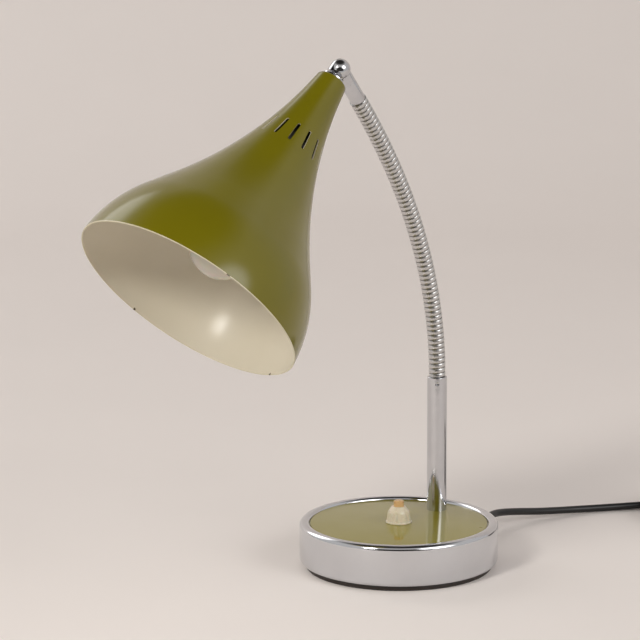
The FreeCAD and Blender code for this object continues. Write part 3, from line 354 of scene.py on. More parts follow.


# Stoved enamel: a deep even colour under its own clear skin, with the faint waves of sprayed paint.
# Up the bell's neck the cream paint fades to a dark painted shade, standing in for the shade that falls inside the
# narrow neck.
def makeEnamel(name, light, dark, smooth, coat, coatRoughness, chips=(), peelStrength=0.05, neckShadeRuns=None):
    material, tree, shader, spot = startMaterial(name)
    cloud = addNode(tree, "TexNoise", {"Vector": spot, "Scale": scaleFor(enamel["cloud"]), "Detail": 3.0})
    peel = addNode(tree, "TexNoise", {"Vector": spot, "Scale": scaleFor(enamel["peel"]), "Detail": 1.0})
    paint = mixColours(tree, cloud.outputs["Fac"], light, dark)
    if neckShadeRuns:
        # painted shade: the cream darkens towards the top of the neck, where shade falls inside
        axis = headPlace.to_3x3() @ Vector((0, 0, 1))
        height = addNode(tree, "VectorMath", {0: spot, 1: axis}, operation="DOT_PRODUCT")
        low, high = (axis.dot(headPlace.translation) - (head["drop"] + run) * mm for run in neckShadeRuns)
        share = addNode(tree, "MapRange", {"Value": height.outputs["Value"], "From Min": low, "From Max": high})
        paint = mixColours(tree, share.outputs["Result"], paint, enamel["paintedNeckShade"])
    for centre in chips:
        away = addNode(tree, "VectorMath", {0: spot, 1: centre}, operation="DISTANCE")
        ragged = addNode(tree, "TexNoise", {"Vector": spot, "Scale": scaleFor(1.5), "Detail": 2.0})
        bent = addNode(tree, "Math", {0: ragged.outputs["Fac"], 1: -1.6 * mm, 2: away.outputs["Value"]}, operation="MULTIPLY_ADD")
        inside = addNode(tree, "Math", {0: bent.outputs["Value"], 1: 0.3 * mm}, operation="LESS_THAN")
        paint = mixColours(tree, inside.outputs["Value"], paint, enamel["chip"])
    tree.links.new(paint, shader.inputs["Base Color"])
    gloss = addNode(tree, "MapRange", {"Value": cloud.outputs["Fac"], "From Min": 0.3, "From Max": 0.7,
                                       "To Min": smooth - 0.03, "To Max": smooth + 0.04})
    tree.links.new(gloss.outputs["Result"], shader.inputs["Roughness"])
    relief = addNode(tree, "Bump", {"Height": peel.outputs["Fac"], "Strength": peelStrength, "Distance": 0.1 * mm})
    tree.links.new(relief.outputs["Normal"], shader.inputs["Normal"])
    tree.links.new(relief.outputs["Normal"], shader.inputs["Coat Normal"])
    shader.inputs["Specular IOR Level"].default_value = 0.12
    shader.inputs["Coat Weight"].default_value = coat
    shader.inputs["Coat Roughness"].default_value = coatRoughness
    return material


# Wound steel strip, nickel and chrome plated: bright crowns, and painted shade darkening the grooves between the turns.
def makeWoundStrip(name):
    material, tree, shader, spot = startMaterial(name)
    depth = addNode(tree, "Attribute", attribute_name="grooveDepth")
    speck = addNode(tree, "TexNoise", {"Vector": spot, "Scale": scaleFor(1.4), "Detail": 3.0})
    worn = mixColours(tree, speck.outputs["Fac"], "#d8d7d6", "#c6c4c2")
    # painted shade: the deeper a point lies in a groove, the darker its colour
    grooveShade = addNode(tree, "MapRange", {"Value": depth.outputs["Fac"], "From Min": 0.35, "From Max": 0.95})
    shadedStrip = mixColours(tree, grooveShade.outputs["Result"], worn, "#5d564f")
    gloss = addNode(tree, "MapRange", {"Value": grooveShade.outputs["Result"], "To Min": 0.32, "To Max": 0.5})
    tree.links.new(shadedStrip, shader.inputs["Base Color"])
    tree.links.new(gloss.outputs["Result"], shader.inputs["Roughness"])
    shader.inputs["Metallic"].default_value = 1.0
    return material


# Opal glass: a milky body that glows softly under a polished skin.
def makeOpalGlass(name):
    material, tree, shader, spot = startMaterial(name)
    cloud = addNode(tree, "TexNoise", {"Vector": spot, "Scale": scaleFor(18.0), "Detail": 2.0})
    tone = mixColours(tree, cloud.outputs["Fac"], "#cfc9bb", "#c5bfae")
    tree.links.new(tone, shader.inputs["Base Color"])
    shader.inputs["Roughness"].default_value = 0.12
    shader.inputs["Subsurface Weight"].default_value = 0.5
    shader.inputs["Subsurface Scale"].default_value = 4.0 * mm
    shader.inputs["Coat Weight"].default_value = 0.5
    shader.inputs["Coat Roughness"].default_value = 0.05
    return material


# ---- shade

shade = {
    "length": 184.7, "wall": 1.0, "topRadius": 10.67, "topRound": 2.2,
    "neckLength": 6.0, "neckAngle": 8.1, "flareAngle": 32.5, "flareEnd": 122.1,
    "coneLength": 17.0, "rimAngle": 3.7, "bore": 5.0,
    "slots": 15, "slotWidth": 2.1, "slotStart": 47.8, "slotEnd": 63.4, "slotTurn": -1.6,
    "steps": 240, "lineSteps": 40,
    "chips": (204.5, 288.5, 34.5),
}


# Bell line at an offset inwards: a straight neck, a hollow arc, a straight cone and a full arc to the rim.
def bellLine(offset):
    neckTurn, flare, rim = (math.radians(shade[key]) for key in ("neckAngle", "flareAngle", "rimAngle"))
    flareRadius = (shade["flareEnd"] - shade["neckLength"]) / (math.sin(flare) - math.sin(neckTurn))
    skirtStart = shade["flareEnd"] + shade["coneLength"]
    skirtRadius = (shade["length"] - skirtStart) / (math.sin(flare) - math.sin(rim))
    startRadius = shade["topRadius"] + shade["neckLength"] * math.tan(neckTurn)
    centreR = startRadius + flareRadius * math.cos(neckTurn)
    centreT = shade["neckLength"] - flareRadius * math.sin(neckTurn)
    hollow = np.linspace(neckTurn, flare, shade["lineSteps"])
    flareLine = np.stack([centreR - (flareRadius + offset) * np.cos(hollow),
                          centreT + (flareRadius + offset) * np.sin(hollow)], -1)
    coneRadius = centreR - flareRadius * math.cos(flare) + shade["coneLength"] * math.tan(flare)
    skirtR = coneRadius - skirtRadius * math.cos(flare)
    skirtT = skirtStart + skirtRadius * math.sin(flare)
    full = np.linspace(flare, rim, shade["lineSteps"])
    skirtLine = np.stack([skirtR + (skirtRadius - offset) * np.cos(full),
                          skirtT - (skirtRadius - offset) * np.sin(full)], -1)
    topRadius = shade["topRadius"] - offset / math.cos(neckTurn) + offset * math.tan(neckTurn)
    return np.concatenate([[[topRadius, offset]], flareLine, skirtLine])


def shadeOutline():
    outer, inner = bellLine(0.0), bellLine(shade["wall"])
    slope = (outer[1] - outer[0]) / np.linalg.norm(outer[1] - outer[0])
    corner = outer[0]
    start = corner - np.array([shade["topRound"], 0])
    end = corner + slope * shade["topRound"]
    share = np.linspace(0, 1, 9)[:, None]
    rounded = (1 - share) ** 2 * start + 2 * share * (1 - share) * corner + share ** 2 * end
    rimMiddle = (outer[-1] + inner[-1]) / 2
    across = (outer[-1] - inner[-1]) / 2
    beyond = np.array([-across[1], across[0]])
    bend = np.linspace(0, math.pi, 9)[1:-1, None]
    rim = rimMiddle + np.cos(bend) * across + np.sin(bend) * beyond
    line = np.concatenate([[[shade["bore"], 0]], rounded, outer[1:], rim, inner[::-1], [[shade["bore"], shade["wall"]]]])
    return np.stack([line[:, 0], -(head["drop"] + line[:, 1])], -1)


# Slot cutter: a round-ended bar, pushed out through the wall along its own radius.
def slotCutters():
    half = shade["slotWidth"] / 2
    low, high = -(head["drop"] + shade["slotEnd"] - half), -(head["drop"] + shade["slotStart"] + half)
    bend = np.linspace(0, math.pi, 9)
    across = np.concatenate([half * np.cos(bend), -half * np.cos(bend)])
    along = np.concatenate([high + half * np.sin(bend), low - half * np.sin(bend)])
    work = bmesh.new()
    for k in range(shade["slots"]):
        turn = Matrix.Rotation(math.radians(shade["slotTurn"]) + fullTurn * k / shade["slots"], 4, "Z")
        rings = []
        for reach in (12.0, 60.0):
            spots = [headPlace @ turn @ Vector((reach * mm, a * mm, b * mm)) for a, b in zip(across, along)]
            rings.append([work.verts.new(spot) for spot in spots])
        count = len(across)
        for j in range(count):
            work.faces.new([rings[0][j], rings[0][(j + 1) % count], rings[1][(j + 1) % count], rings[1][j]])
        work.faces.new(rings[0])
        work.faces.new(rings[1])
    bmesh.ops.recalc_face_normals(work, faces=work.faces)
    mesh = bpy.data.meshes.new("slotCutters")
    work.to_mesh(mesh)
    work.free()
    return linkMesh("slotCutters", mesh)


def makeShade():
    outline = shadeOutline()
    chips = []
    rimRadius = bellLine(0.0)[-1][0] - 0.3
    for degrees in shade["chips"]:
        turn = math.radians(degrees)
        chips.append(headPlace @ Vector((rimRadius * math.cos(turn) * mm, -rimRadius * math.sin(turn) * mm,
                                         -(head["drop"] + shade["length"]) * mm)))
    olive = makeEnamel("stovedOliveEnamel", enamel["olive"], enamel["oliveDeep"], 0.32, 0.75, 0.13)
    cream = makeEnamel("stovedCreamEnamel", enamel["cream"], enamel["creamShade"], 0.38, 0.3, 0.2, chips, neckShadeRuns=(98.0, 76.0))
    edge = makeEnamel("thinPaintAtEdges", enamel["edge"], enamel["cream"], 0.4, 0.3, 0.2, chips)
    mesh = turnedMesh("shadeBell", outline, headPlace, steps=shade["steps"], sharp=50.0)
    piece = addPiece("shadeBell", mesh, "head", [olive, cream, edge], ["shade"])
    cutters = slotCutters()
    cut = piece.modifiers.new("slots", "BOOLEAN")
    cut.object = cutters
    cut.solver = "EXACT"
    bpy.context.view_layer.update()
    result = bpy.data.meshes.new_from_object(piece.evaluated_get(bpy.context.evaluated_depsgraph_get()))
    piece.modifiers.clear()
    piece.data = result
    bpy.data.objects.remove(cutters)
    paintShade(piece, outline)
    return piece


# Each face takes its paint from the nearest part of the bell's line, and each corner that line's own slope.
def paintShade(piece, outline):
    mesh = piece.data
    back = np.array(headPlace.inverted())
    faceCount = len(mesh.polygons)
    centres = np.empty(faceCount * 3)
    mesh.polygons.foreach_get("center", centres)
    normals = np.empty(faceCount * 3)
    mesh.polygons.foreach_get("normal", normals)
    centres = centres.reshape(-1, 3) @ back[:3, :3].T + back[:3, 3]
    normals = normals.reshape(-1, 3) @ back[:3, :3].T
    line = outline * mm
    lineWays = np.roll(line, -1, 0) - np.roll(line, 1, 0)
    lineWays /= np.linalg.norm(lineWays, axis=1, keepdims=True)
    lineOut = np.stack([-lineWays[:, 1], lineWays[:, 0]], -1)

    def nearest(spots):
        flat = np.stack([np.hypot(spots[:, 0], spots[:, 1]), spots[:, 2]], -1)
        starts, ends = line, np.roll(line, -1, 0)
        legs = ends - starts
        best = np.full(len(flat), np.inf)
        where = np.zeros(len(flat), int)
        share = np.zeros(len(flat))
        for k in range(len(line)):
            along = np.clip(((flat - starts[k]) @ legs[k]) / max(legs[k] @ legs[k], 1e-18), 0, 1)
            away = np.linalg.norm(flat - (starts[k] + along[:, None] * legs[k]), axis=1)
            closer = away < best
            best[closer], where[closer], share[closer] = away[closer], k, along[closer]
        return where, share

    def outward(spots, where, share):
        following = (where + 1) % len(line)
        slope = lineOut[where] * (1 - share[:, None]) + lineOut[following] * share[:, None]
        slope /= np.linalg.norm(slope, axis=1, keepdims=True)
        around = spots[:, :2] / np.maximum(np.hypot(spots[:, 0], spots[:, 1]), 1e-9)[:, None]
        return np.concatenate([around * slope[:, :1], slope[:, 1:]], 1)

    where, share = nearest(centres)
    facing = np.sum(outward(centres, where, share) * normals, axis=1)
    sign = 1.0 if np.median(facing) > 0 else -1.0
    facing *= sign
    rimStart = 10 + 2 * shade["lineSteps"] - 1
    rimEnd = rimStart + 8
    paint = np.where(where < rimStart, 0, 1)
    paint[(where >= rimStart) & (where < rimEnd)] = 2
    paint[facing < 0.75] = 2
    mesh.polygons.foreach_set("material_index", paint.astype(np.int32))
    starts = np.empty(faceCount, int)
    totals = np.empty(faceCount, int)
    mesh.polygons.foreach_get("loop_start", starts)
    mesh.polygons.foreach_get("loop_total", totals)
    vertexOf = np.empty(len(mesh.loops), int)
    mesh.loops.foreach_get("vertex_index", vertexOf)
    places = np.empty(len(mesh.vertices) * 3)
    mesh.vertices.foreach_get("co", places)
    places = places.reshape(-1, 3) @ back[:3, :3].T + back[:3, 3]
    vertexWhere, vertexShare = nearest(places)
    vertexOut = sign * outward(places, vertexWhere, vertexShare)
    faceOf = np.repeat(np.arange(faceCount), totals)
    loopNormals = vertexOut[vertexOf]
    flat = np.sum(loopNormals * normals[faceOf], axis=1) < 0.8
    loopNormals[flat] = normals[faceOf][flat]
    loopNormals = loopNormals @ np.array(headPlace.to_3x3()).T
    mesh.polygons.foreach_set("use_smooth", np.ones(faceCount, bool))
    mesh.normals_split_custom_set(loopNormals.tolist())


shadePiece = makeShade()
print("shade made, faces", len(shadePiece.data.polygons))


# ---- base: drum, disc and stem

base = {
    "radius": 70.0, "wall": 1.2, "footHeight": 3.6, "footRound": 3.4, "flangeWidth": 8.5,
    "rimWidth": 7.2, "rimRise": 1.6, "rimOuterRound": 3.4, "rimInnerRound": 2.6,
    "plateThickness": 1.5, "plateTop": 31.2, "plateGap": 0.25, "plateRound": 0.5,
    "barrelHole": 4.95, "steps": 256,
}
stem = {
    "radius": 7.0, "wall": 1.0, "top": 128.5, "mouthRound": 0.5,
    "dimpleRadius": 1.6, "dimpleDepth": 0.45, "dimpleDrop": 4.2, "dimples": 3, "dimpleStart": -53.0,
}


def makeBase():
    webTop = base["plateTop"] - base["plateThickness"]
    webBottom = webTop - base["wall"]
    rimTop = base["plateTop"] + base["rimRise"]
    inner = base["radius"] - base["rimWidth"]
    bore = base["radius"] - base["wall"]
    flange = base["radius"] - base["flangeWidth"]
    drum = roundedOutline([
        (base["barrelHole"], webBottom, 0), (inner + base["wall"], webBottom, 0),
        (inner + base["wall"], rimTop - base["wall"], base["rimInnerRound"] - base["wall"]),
        (bore, rimTop - base["wall"], base["rimOuterRound"] - base["wall"]),
        (bore, base["footHeight"] + base["wall"], base["footRound"] - base["wall"]),
        (flange, base["footHeight"] + base["wall"], 0), (flange, base["footHeight"], 0),
        (base["radius"], base["footHeight"], base["footRound"]),
        (base["radius"], rimTop, base["rimOuterRound"]),
        (inner, rimTop, base["rimInnerRound"]), (inner, webTop, 0), (base["barrelHole"], webTop, 0),
    ])
    drumMesh = turnedMesh("baseDrum", drum, straight, steps=base["steps"])
    addPiece("baseDrum", drumMesh, "base", [made["polishedChromePlate"]], ["base_shell"])
    disc = roundedOutline([
        (base["barrelHole"], webTop, 0), (inner - base["plateGap"], webTop, 0),
        (inner - base["plateGap"], base["plateTop"], base["plateRound"]), (base["barrelHole"], base["plateTop"], 0),
    ])
    discMesh = turnedMesh("baseDisc", disc, straight, steps=base["steps"])
    # painted light: a lighter copy of the shade's olive enamel, for the light that falls on the disc
    flat = makeEnamel("litOliveEnamelFlat", enamel["disc"], enamel["discDeep"], 0.3, 0.8, 0.012, peelStrength=0.004)
    addPiece("baseDisc", discMesh, "base", [flat], ["top_plate"])


# Stem: a drawn tube, r = R - depth * (1 - (d / reach)^2) inside each staking dimple.
def makeStem():
    heights = np.concatenate([np.linspace(base["plateTop"], stem["top"] - 9.0, 12), np.linspace(stem["top"] - 8.8, stem["top"] - 0.6, 42)])
    inner = stem["radius"] - stem["wall"]
    outside = np.stack([np.full_like(heights, stem["radius"]), heights], -1)
    mouth = roundedOutline([(stem["radius"], stem["top"], stem["mouthRound"]), (inner, stem["top"], 0),
                            (inner, base["plateTop"], 0), (stem["radius"], base["plateTop"], 0)])[:-1]
    outline = np.concatenate([outside, mouth])
    reach = math.sqrt(2 * stem["dimpleRadius"] * stem["dimpleDepth"])

    def dimple(angle, height, radius):
        dent = np.zeros_like(radius)
        for k in range(stem["dimples"]):
            centre = math.radians(stem["dimpleStart"]) + fullTurn * k / stem["dimples"]
            turned = (angle - centre + math.pi) % fullTurn - math.pi
            away = np.hypot(turned * stem["radius"], height - (stem["top"] - stem["dimpleDrop"]))
            dent -= stem["dimpleDepth"] * np.clip(1 - (away / reach) ** 2, 0, 1)
        return np.where(radius > inner + 0.5, dent, 0.0)

    mesh = turnedMesh("stemTube", outline, stemPlace, steps=144, swell=dimple, sharp=50.0)
    addPiece("stemTube", mesh, "base", [made["chromePlatedTube"]], ["stem_tube"])


makeBase()
makeStem()
print("base and stem made")


# ---- gooseneck

woundStrip = makeWoundStrip("chromedWoundStrip")


# Skin of the gooseneck from one run to another. At run s and angle a about the axis the radius is
# root + (crown - root) * (1 - |2 f - 1| ^ power), where f is the fraction of s / pitch - a / turn,
# so that one ridge winds round as a right-handed screw. Its far end is half a ball of radius ball and its
# near end a socket as deep, so that no gap opens where two lengths bend.
def neckSkin(name, low, high, ball, socket):
    rows = int(round((high - low) / neck["pitch"] * neck["ribSteps"])) + 1
    run = np.linspace(low, high, rows)
    angle = np.arange(neck["aroundSteps"]) * fullTurn / neck["aroundSteps"]
    phase = (run[:, None] / neck["pitch"] - angle[None, :] / fullTurn) % 1.0
    rise = 1 - np.abs(2 * phase - 1) ** neck["ribPower"]
    crown = np.where(run < 0.6, stem["radius"] - stem["wall"] - 0.15, neck["crown"])[:, None]
    radius = neck["root"] + (crown - neck["root"]) * rise
    spots, lean = neckAxis(run)
    side = np.stack([np.zeros_like(lean), np.cos(lean), np.sin(lean)], -1)
    across = np.array([1.0, 0.0, 0.0])
    ring = np.cos(angle)[None, :, None] * across + np.sin(angle)[None, :, None] * side[:, None, :]
    points = spots[:, None, :] + radius[:, :, None] * ring
    tip = np.linspace(0.0, math.pi / 2, 7)[:, None, None]
    way = np.stack([np.zeros_like(lean), -np.sin(lean), np.cos(lean)], -1)
    hollow = spots[0] + socket * (np.cos(tip) * ring[0] + np.sin(tip) * way[0])
    dome = spots[-1] + ball * (np.cos(tip) * ring[-1] + np.sin(tip) * way[-1])
    closed = np.concatenate([hollow[::-1], points, dome])
    mesh = meshFromGrid(name, closed * mm, sharp=60.0)
    places = np.empty(len(mesh.vertices) * 3)
    mesh.vertices.foreach_get("co", places)
    places = places.reshape(-1, 3) / mm
    away = np.empty(len(places))
    for part in np.array_split(np.arange(len(places)), 8):
        gap = np.linalg.norm(places[part][:, None, :] - spots[None, :, :], axis=2)
        away[part] = gap.min(1)
    depth = np.clip((neck["crown"] - away) / (neck["crown"] - neck["root"]), 0, 1)
    mesh.attributes.new("grooveDepth", "FLOAT", "POINT").data.foreach_set("value", depth.astype(np.float32))
    return mesh


def makeNeck():
    last = neck["lengths"] - 1
    for k in range(neck["lengths"]):
        name = f"neckSkin{k + 1:02d}"
        low = k * neck["each"] if k else -neck["inStem"]
        mesh = neckSkin(name, low, (k + 1) * neck["each"], neck["ball"] if k < last else 0.0, neck["socket"] if k else 0.0)
        addPiece(name, mesh, neckBody(k + 1), [woundStrip], [f"neck_{k + 1:02d}"])


makeNeck()
print("gooseneck made")


# ---- ferrule, lamp holder and lamp

fittings = {
    "ferruleRadius": 5.4, "ferruleBottom": -0.4, "ferruleTop": 17.55, "edge": 0.4, "seamEdge": 0.03, "ferruleBore": 3.45,
    "holderRadius": 13.5, "capStart": 58.0, "capLength": 15.0, "capTop": 8.0, "capRound": 3.5, "holderWall": 1.8,
    "skirtEnd": 104.0, "lip": 1.4, "lipLength": 3.0, "nippleBore": 4.95,
    "globeRadius": 22.5, "globeCentre": 140.5, "throatRadius": 6.7, "throatStart": 102.5, "throatBlend": 16.0,
}


def along(distance):
    return -(head["drop"] + distance)


def makeFittings():
    f = fittings
    ferrule = roundedOutline([(f["ferruleBore"], f["ferruleBottom"], 0), (f["ferruleRadius"], f["ferruleBottom"], f["edge"]),
                              (f["ferruleRadius"], f["ferruleTop"], f["seamEdge"]), (f["ferruleBore"], f["ferruleTop"], 0)], 5)
    addPiece("neckFerrule", turnedMesh("neckFerrule", ferrule, neckEnd, steps=96), neckBody(neck["lengths"]),
             [made["chromePlatedTube"]], ["neck_ferrule"])
    top, shoulder = along(f["capStart"]), along(f["capStart"]) - f["capLength"] / 3
    cap = roundedOutline([
        (f["nippleBore"], top, 0), (f["capTop"], top, 0.8), (f["holderRadius"], shoulder, f["capRound"]),
        (f["holderRadius"], along(f["capStart"] + f["capLength"]), 0.25),
        (f["holderRadius"] - f["holderWall"], along(f["capStart"] + f["capLength"]), 0),
        (f["holderRadius"] - f["holderWall"], shoulder - f["holderWall"], f["capRound"] - f["holderWall"]),
        (f["nippleBore"], shoulder - f["holderWall"], 0),
    ])
    addPiece("holderCap", turnedMesh("holderCap", cap, headPlace, steps=96), "head", [made["blackPhenolic"]], ["holder_cap"])
    bottom = along(f["skirtEnd"])
    skirt = roundedOutline([
        (f["holderRadius"] - f["holderWall"], along(f["capStart"] + f["capLength"]), 0),
        (f["holderRadius"], along(f["capStart"] + f["capLength"]), 0.25),
        (f["holderRadius"], bottom + f["lipLength"], 0.4), (f["holderRadius"] + f["lip"], bottom + f["lipLength"], 0.5),
        (f["holderRadius"] + f["lip"], bottom, 0.5), (f["holderRadius"] - f["holderWall"], bottom, 0),
    ])
    addPiece("holderSkirt", turnedMesh("holderSkirt", skirt, headPlace, steps=96), "head", [made["blackPhenolic"]], ["holder_skirt"])


# Globe: a sphere drawn out to a throat by an arc that touches both, closed at both ends.
def makeGlobe():
    f = fittings
    reach, side = f["globeRadius"] + f["throatBlend"], f["throatRadius"] + f["throatBlend"]
    drop = math.sqrt(reach * reach - side * side)
    meet = math.atan2(side, drop)
    blend = np.linspace(math.pi / 2, meet, 14)
    ball = np.linspace(meet, math.pi, 60)[1:]
    throat = np.stack([side - f["throatBlend"] * np.sin(blend), f["globeCentre"] - drop + f["throatBlend"] * np.cos(blend)], -1)
    sphere = np.stack([f["globeRadius"] * np.sin(ball), f["globeCentre"] - f["globeRadius"] * np.cos(ball)], -1)
    line = np.concatenate([[[0.0, f["throatStart"]], [f["throatRadius"], f["throatStart"]]], throat, sphere])
    outline = np.stack([line[:, 0], -(head["drop"] + line[:, 1])], -1)
    mesh = turnedMesh("lampGlobe", outline, headPlace, steps=128)
    addPiece("lampGlobe", mesh, "head", [makeOpalGlass("opalGlass")], ["lamp_globe"])


makeFittings()
makeGlobe()
print("fittings and lamp made")


# ---- push switch

switch = {
    "flangeRadius": 9.2, "flangeHeight": 1.3, "height": 11.7, "sideRadius": 8.6, "shoulderRadius": 7.7,
    "topRadius": 4.9, "shoulderHeight": 7.9, "shoulderRound": 4.0, "edgeRound": 0.9, "flutes": 6, "fluteRadius": 1.5,
    "fluteDepth": 0.8, "fluteStart": -66.0, "boreRadius": 4.95, "topHole": 3.68,
    "buttonRadius": 3.6, "buttonRise": 4.2, "buttonCrown": 0.8, "buttonFoot": 25.5,
}


# Collar: r(a, z) = outline(z) - depth of the nearest upright groove, w = how far a lies from its middle.
def makeSwitch():
    bottom = base["plateTop"]
    top = bottom + switch["height"]
    corners = [
        (switch["boreRadius"], bottom, 0), (switch["flangeRadius"], bottom, 0.3),
        (switch["flangeRadius"], bottom + switch["flangeHeight"], 0.5),
        (switch["sideRadius"], bottom + switch["flangeHeight"], 0.3),
        (switch["shoulderRadius"], bottom + switch["shoulderHeight"], switch["shoulderRound"]),
        (switch["topRadius"], top, switch["edgeRound"]), (switch["topHole"], top, 0),
        (switch["topHole"], top - 1.5, 0), (switch["boreRadius"], top - 1.5, 0),
    ]
    outline = roundedOutline(corners, 7)
    fine = [outline[0]]
    for here, following in zip(outline, np.roll(outline, -1, 0)):
        count = max(int(np.linalg.norm(following - here) / 0.4), 1)
        fine += [here + (following - here) * (k + 1) / count for k in range(count)]
    outline = np.array(fine[:-1])
    lean = (switch["sideRadius"] - switch["shoulderRadius"]) / (switch["shoulderHeight"] - switch["flangeHeight"])

    def flute(angle, height, radius):
        sector = fullTurn / switch["flutes"]
        turned = (angle - math.radians(switch["fluteStart"]) + sector / 2) % sector - sector / 2
        axis = switch["sideRadius"] + switch["fluteRadius"] - switch["fluteDepth"] - lean * (height - bottom - switch["flangeHeight"])
        chord = np.clip(switch["fluteRadius"] ** 2 - (axis * np.sin(turned)) ** 2, 0, None)
        wall = axis * np.cos(turned) - np.sqrt(chord)
        cut = np.minimum(wall - radius, 0.0)
        shown = (height > bottom + switch["flangeHeight"] + 0.05) & (radius > switch["boreRadius"] + 0.1) & (chord > 0)
        return np.where(shown, cut, 0.0)

    mesh = turnedMesh("switchCollar", outline, straight, steps=240, swell=flute, sharp=38.0)
    addPiece("switchCollar", mesh, "base", [made["ivoryUreaMoulding"]], ["switch_collar"])
    crown = roundedOutline([(0, switch["buttonFoot"], 0), (switch["buttonRadius"], switch["buttonFoot"], 0.3),
                            (switch["buttonRadius"], top + switch["buttonRise"], switch["buttonCrown"]), (0, top + switch["buttonRise"], 0)])
    addPiece("pushButton", turnedMesh("pushButton", crown, straight, steps=72), "button", [made["amberUreaMoulding"]], ["push_button"])


makeSwitch()
print("switch made")


# ---- cord, strain relief and coil

cord = {
    "radius": 2.7, "length": 1.8,
    "route": [(0.0, 97.0, 12.0), (0.0, 110.0, 12.0), (-2.5, 124.0, 11.4), (1.5, 144.0, 8.6), (9.0, 164.0, 5.6),
              (23.5, 195.5, 3.1), (42.5, 221.0, 2.8), (62.5, 243.4, 3.5), (84.0, 264.0, 3.5)],
    "meanRadius": 31.0, "perLayer": 2, "layers": 4, "step": 6.0, "floorGap": 0.8, "turnPoints": 16,
    "blend": 0.25, "climb": 2.5, "climbTurns": 0.375, "plugTurn": 27.0, "plugHeight": 31.25,
}
relief = {"end": 27.0, "collar": 2.0, "flange": 6.0, "neck": 5.0, "collarRadius": 6.8, "start": 5.2, "tip": 3.6,
          "grooves": 4, "groovePitch": 4.4, "groove": 1.2, "grooveDepth": 0.6}


# Radius and height of the coil after u turns: it spirals in and out and climbs a layer where it reverses.
def coilPlace(u):
    outer = cord["meanRadius"] + cord["step"] * cord["perLayer"] / 2
    reversal = round(u / cord["perLayer"])
    past = u - reversal * cord["perLayer"]
    away = abs(past)
    if 0 < reversal < cord["layers"] and away < cord["blend"]:
        away = past * past / (2 * cord["blend"]) + cord["blend"] / 2
    depth = away if reversal % 2 == 0 else cord["perLayer"] - away
    share = min(max(past / cord["blend"], -1.0), 1.0)
    if reversal in (0, cord["layers"]):
        share = 1.0 if reversal == 0 else -1.0
    layer = max(reversal - 1, 0) + (0.5 + 0.75 * share - 0.25 * share ** 3 if reversal > 0 else 0.0)
    height = cord["radius"] + cord["floorGap"] + cord["step"] * layer
    left = cord["layers"] * cord["perLayer"] - u
    if left < cord["climbTurns"]:
        height += cord["climb"] * (1 - left / cord["climbTurns"]) ** 2
    return outer - cord["step"] * depth, height


def cordPoints():
    route = [np.array(spot) for spot in cord["route"]]
    outer = cord["meanRadius"] + cord["step"] * cord["perLayer"] / 2
    ahead = route[-1] - route[-2]
    ahead = np.array([ahead[0], ahead[1], 0.0]) / math.hypot(ahead[0], ahead[1])
    aside = np.array([ahead[1], -ahead[0], 0.0])
    slope = math.atan(cord["step"] / (fullTurn * outer))
    way = ahead * math.cos(slope) - aside * math.sin(slope)
    inward = aside * math.cos(slope) + ahead * math.sin(slope)
    centre = np.array([route[-1][0], route[-1][1], 0.0]) + inward * outer
    upward = np.array([0.0, 0.0, 1.0])
    points = list(route[:-1])
    total = cord["perLayer"] * cord["layers"]
    for k in range(total * cord["turnPoints"] + 1):
        u = k / cord["turnPoints"]
        radius, height = coilPlace(u)
        angle = fullTurn * u
        points.append(centre + (way * math.sin(angle) - inward * math.cos(angle)) * radius + upward * height)
    # The lead rises over the turns in a quarter turn and goes straight into the plug.
    radius = cord["plugTurn"]
    high = cord["plugHeight"]
    hub = centre - inward * (outer - radius)
    for degrees, height in ((18.0, 25.6), (38.0, 27.9), (58.0, high - 1.2), (76.0, high)):
        turn = math.radians(degrees)
        points.append(hub + (way * math.sin(turn) - inward * math.cos(turn)) * radius * 1.02 + upward * height)
    points.append(hub + way * radius + upward * high)
    return [point * mm for point in points]


def makeCord():
    data = bpy.data.curves.new("mainsCord", "CURVE")
    data.dimensions = "3D"
    data.bevel_depth = cord["radius"] * mm
    data.bevel_resolution = 6
    data.use_fill_caps = True
    spline = data.splines.new("NURBS")
    points = cordPoints()
    spline.points.add(len(points) - 1)
    for point, spot in zip(spline.points, points):
        point.co = (*spot, 1.0)
    spline.order_u = 3
    spline.use_endpoint_u = True
    spline.resolution_u = 6
    piece = bpy.data.objects.new("mainsCord", data)
    bpy.context.scene.collection.objects.link(piece)
    data.materials.append(made["blackCordSheath"])
    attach(piece, "base")
    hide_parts("cord_run", "cord_coil")
    return piece


# Relief: turned about the cord, its radius falling along it, with a shallow ring cut at each groove.
def makeRelief():
    outline = [(0.0, -3.0), (relief["flange"], -3.0), (relief["flange"], -1.6), (relief["neck"], -1.6), (relief["neck"], 0.0),
               (relief["collarRadius"], 0.0)]
    bend = np.linspace(0, math.pi / 2, 7)
    outline += [(relief["collarRadius"] - 0.8 + 0.8 * math.cos(a), relief["collar"] - 0.8 + 0.8 * math.sin(a)) for a in bend]
    lengths = np.linspace(relief["collar"], relief["end"] - 0.5, 120)
    radii = relief["start"] + (relief["tip"] - relief["start"]) * (lengths - relief["collar"]) / (relief["end"] - relief["collar"])
    for k in range(relief["grooves"]):
        middle = relief["collar"] + relief["groovePitch"] * (k + 0.6) + relief["groove"] / 2
        radii = radii - relief["grooveDepth"] * np.clip(1.35 - (2 * np.abs(lengths - middle) / relief["groove"]) ** 4, 0, 1)
    outline += list(zip(radii, lengths))
    tip = relief["tip"]
    outline += [(tip - 0.5 + 0.5 * math.cos(a), relief["end"] - 0.5 + 0.5 * math.sin(a)) for a in bend] + [(0.0, relief["end"])]
    place = Matrix.Translation((0, base["radius"] * mm, 12.0 * mm)) @ Matrix.Rotation(-math.pi / 2, 4, "X")
    mesh = turnedMesh("cordRelief", np.array(outline), place, steps=72, sharp=45.0)
    addPiece("cordRelief", mesh, "base", [made["blackMouldedPlastic"]], ["cord_relief"])


makeCord()
makeRelief()
print("cord made")


# ---- the pieces that keep their own shape get their finish

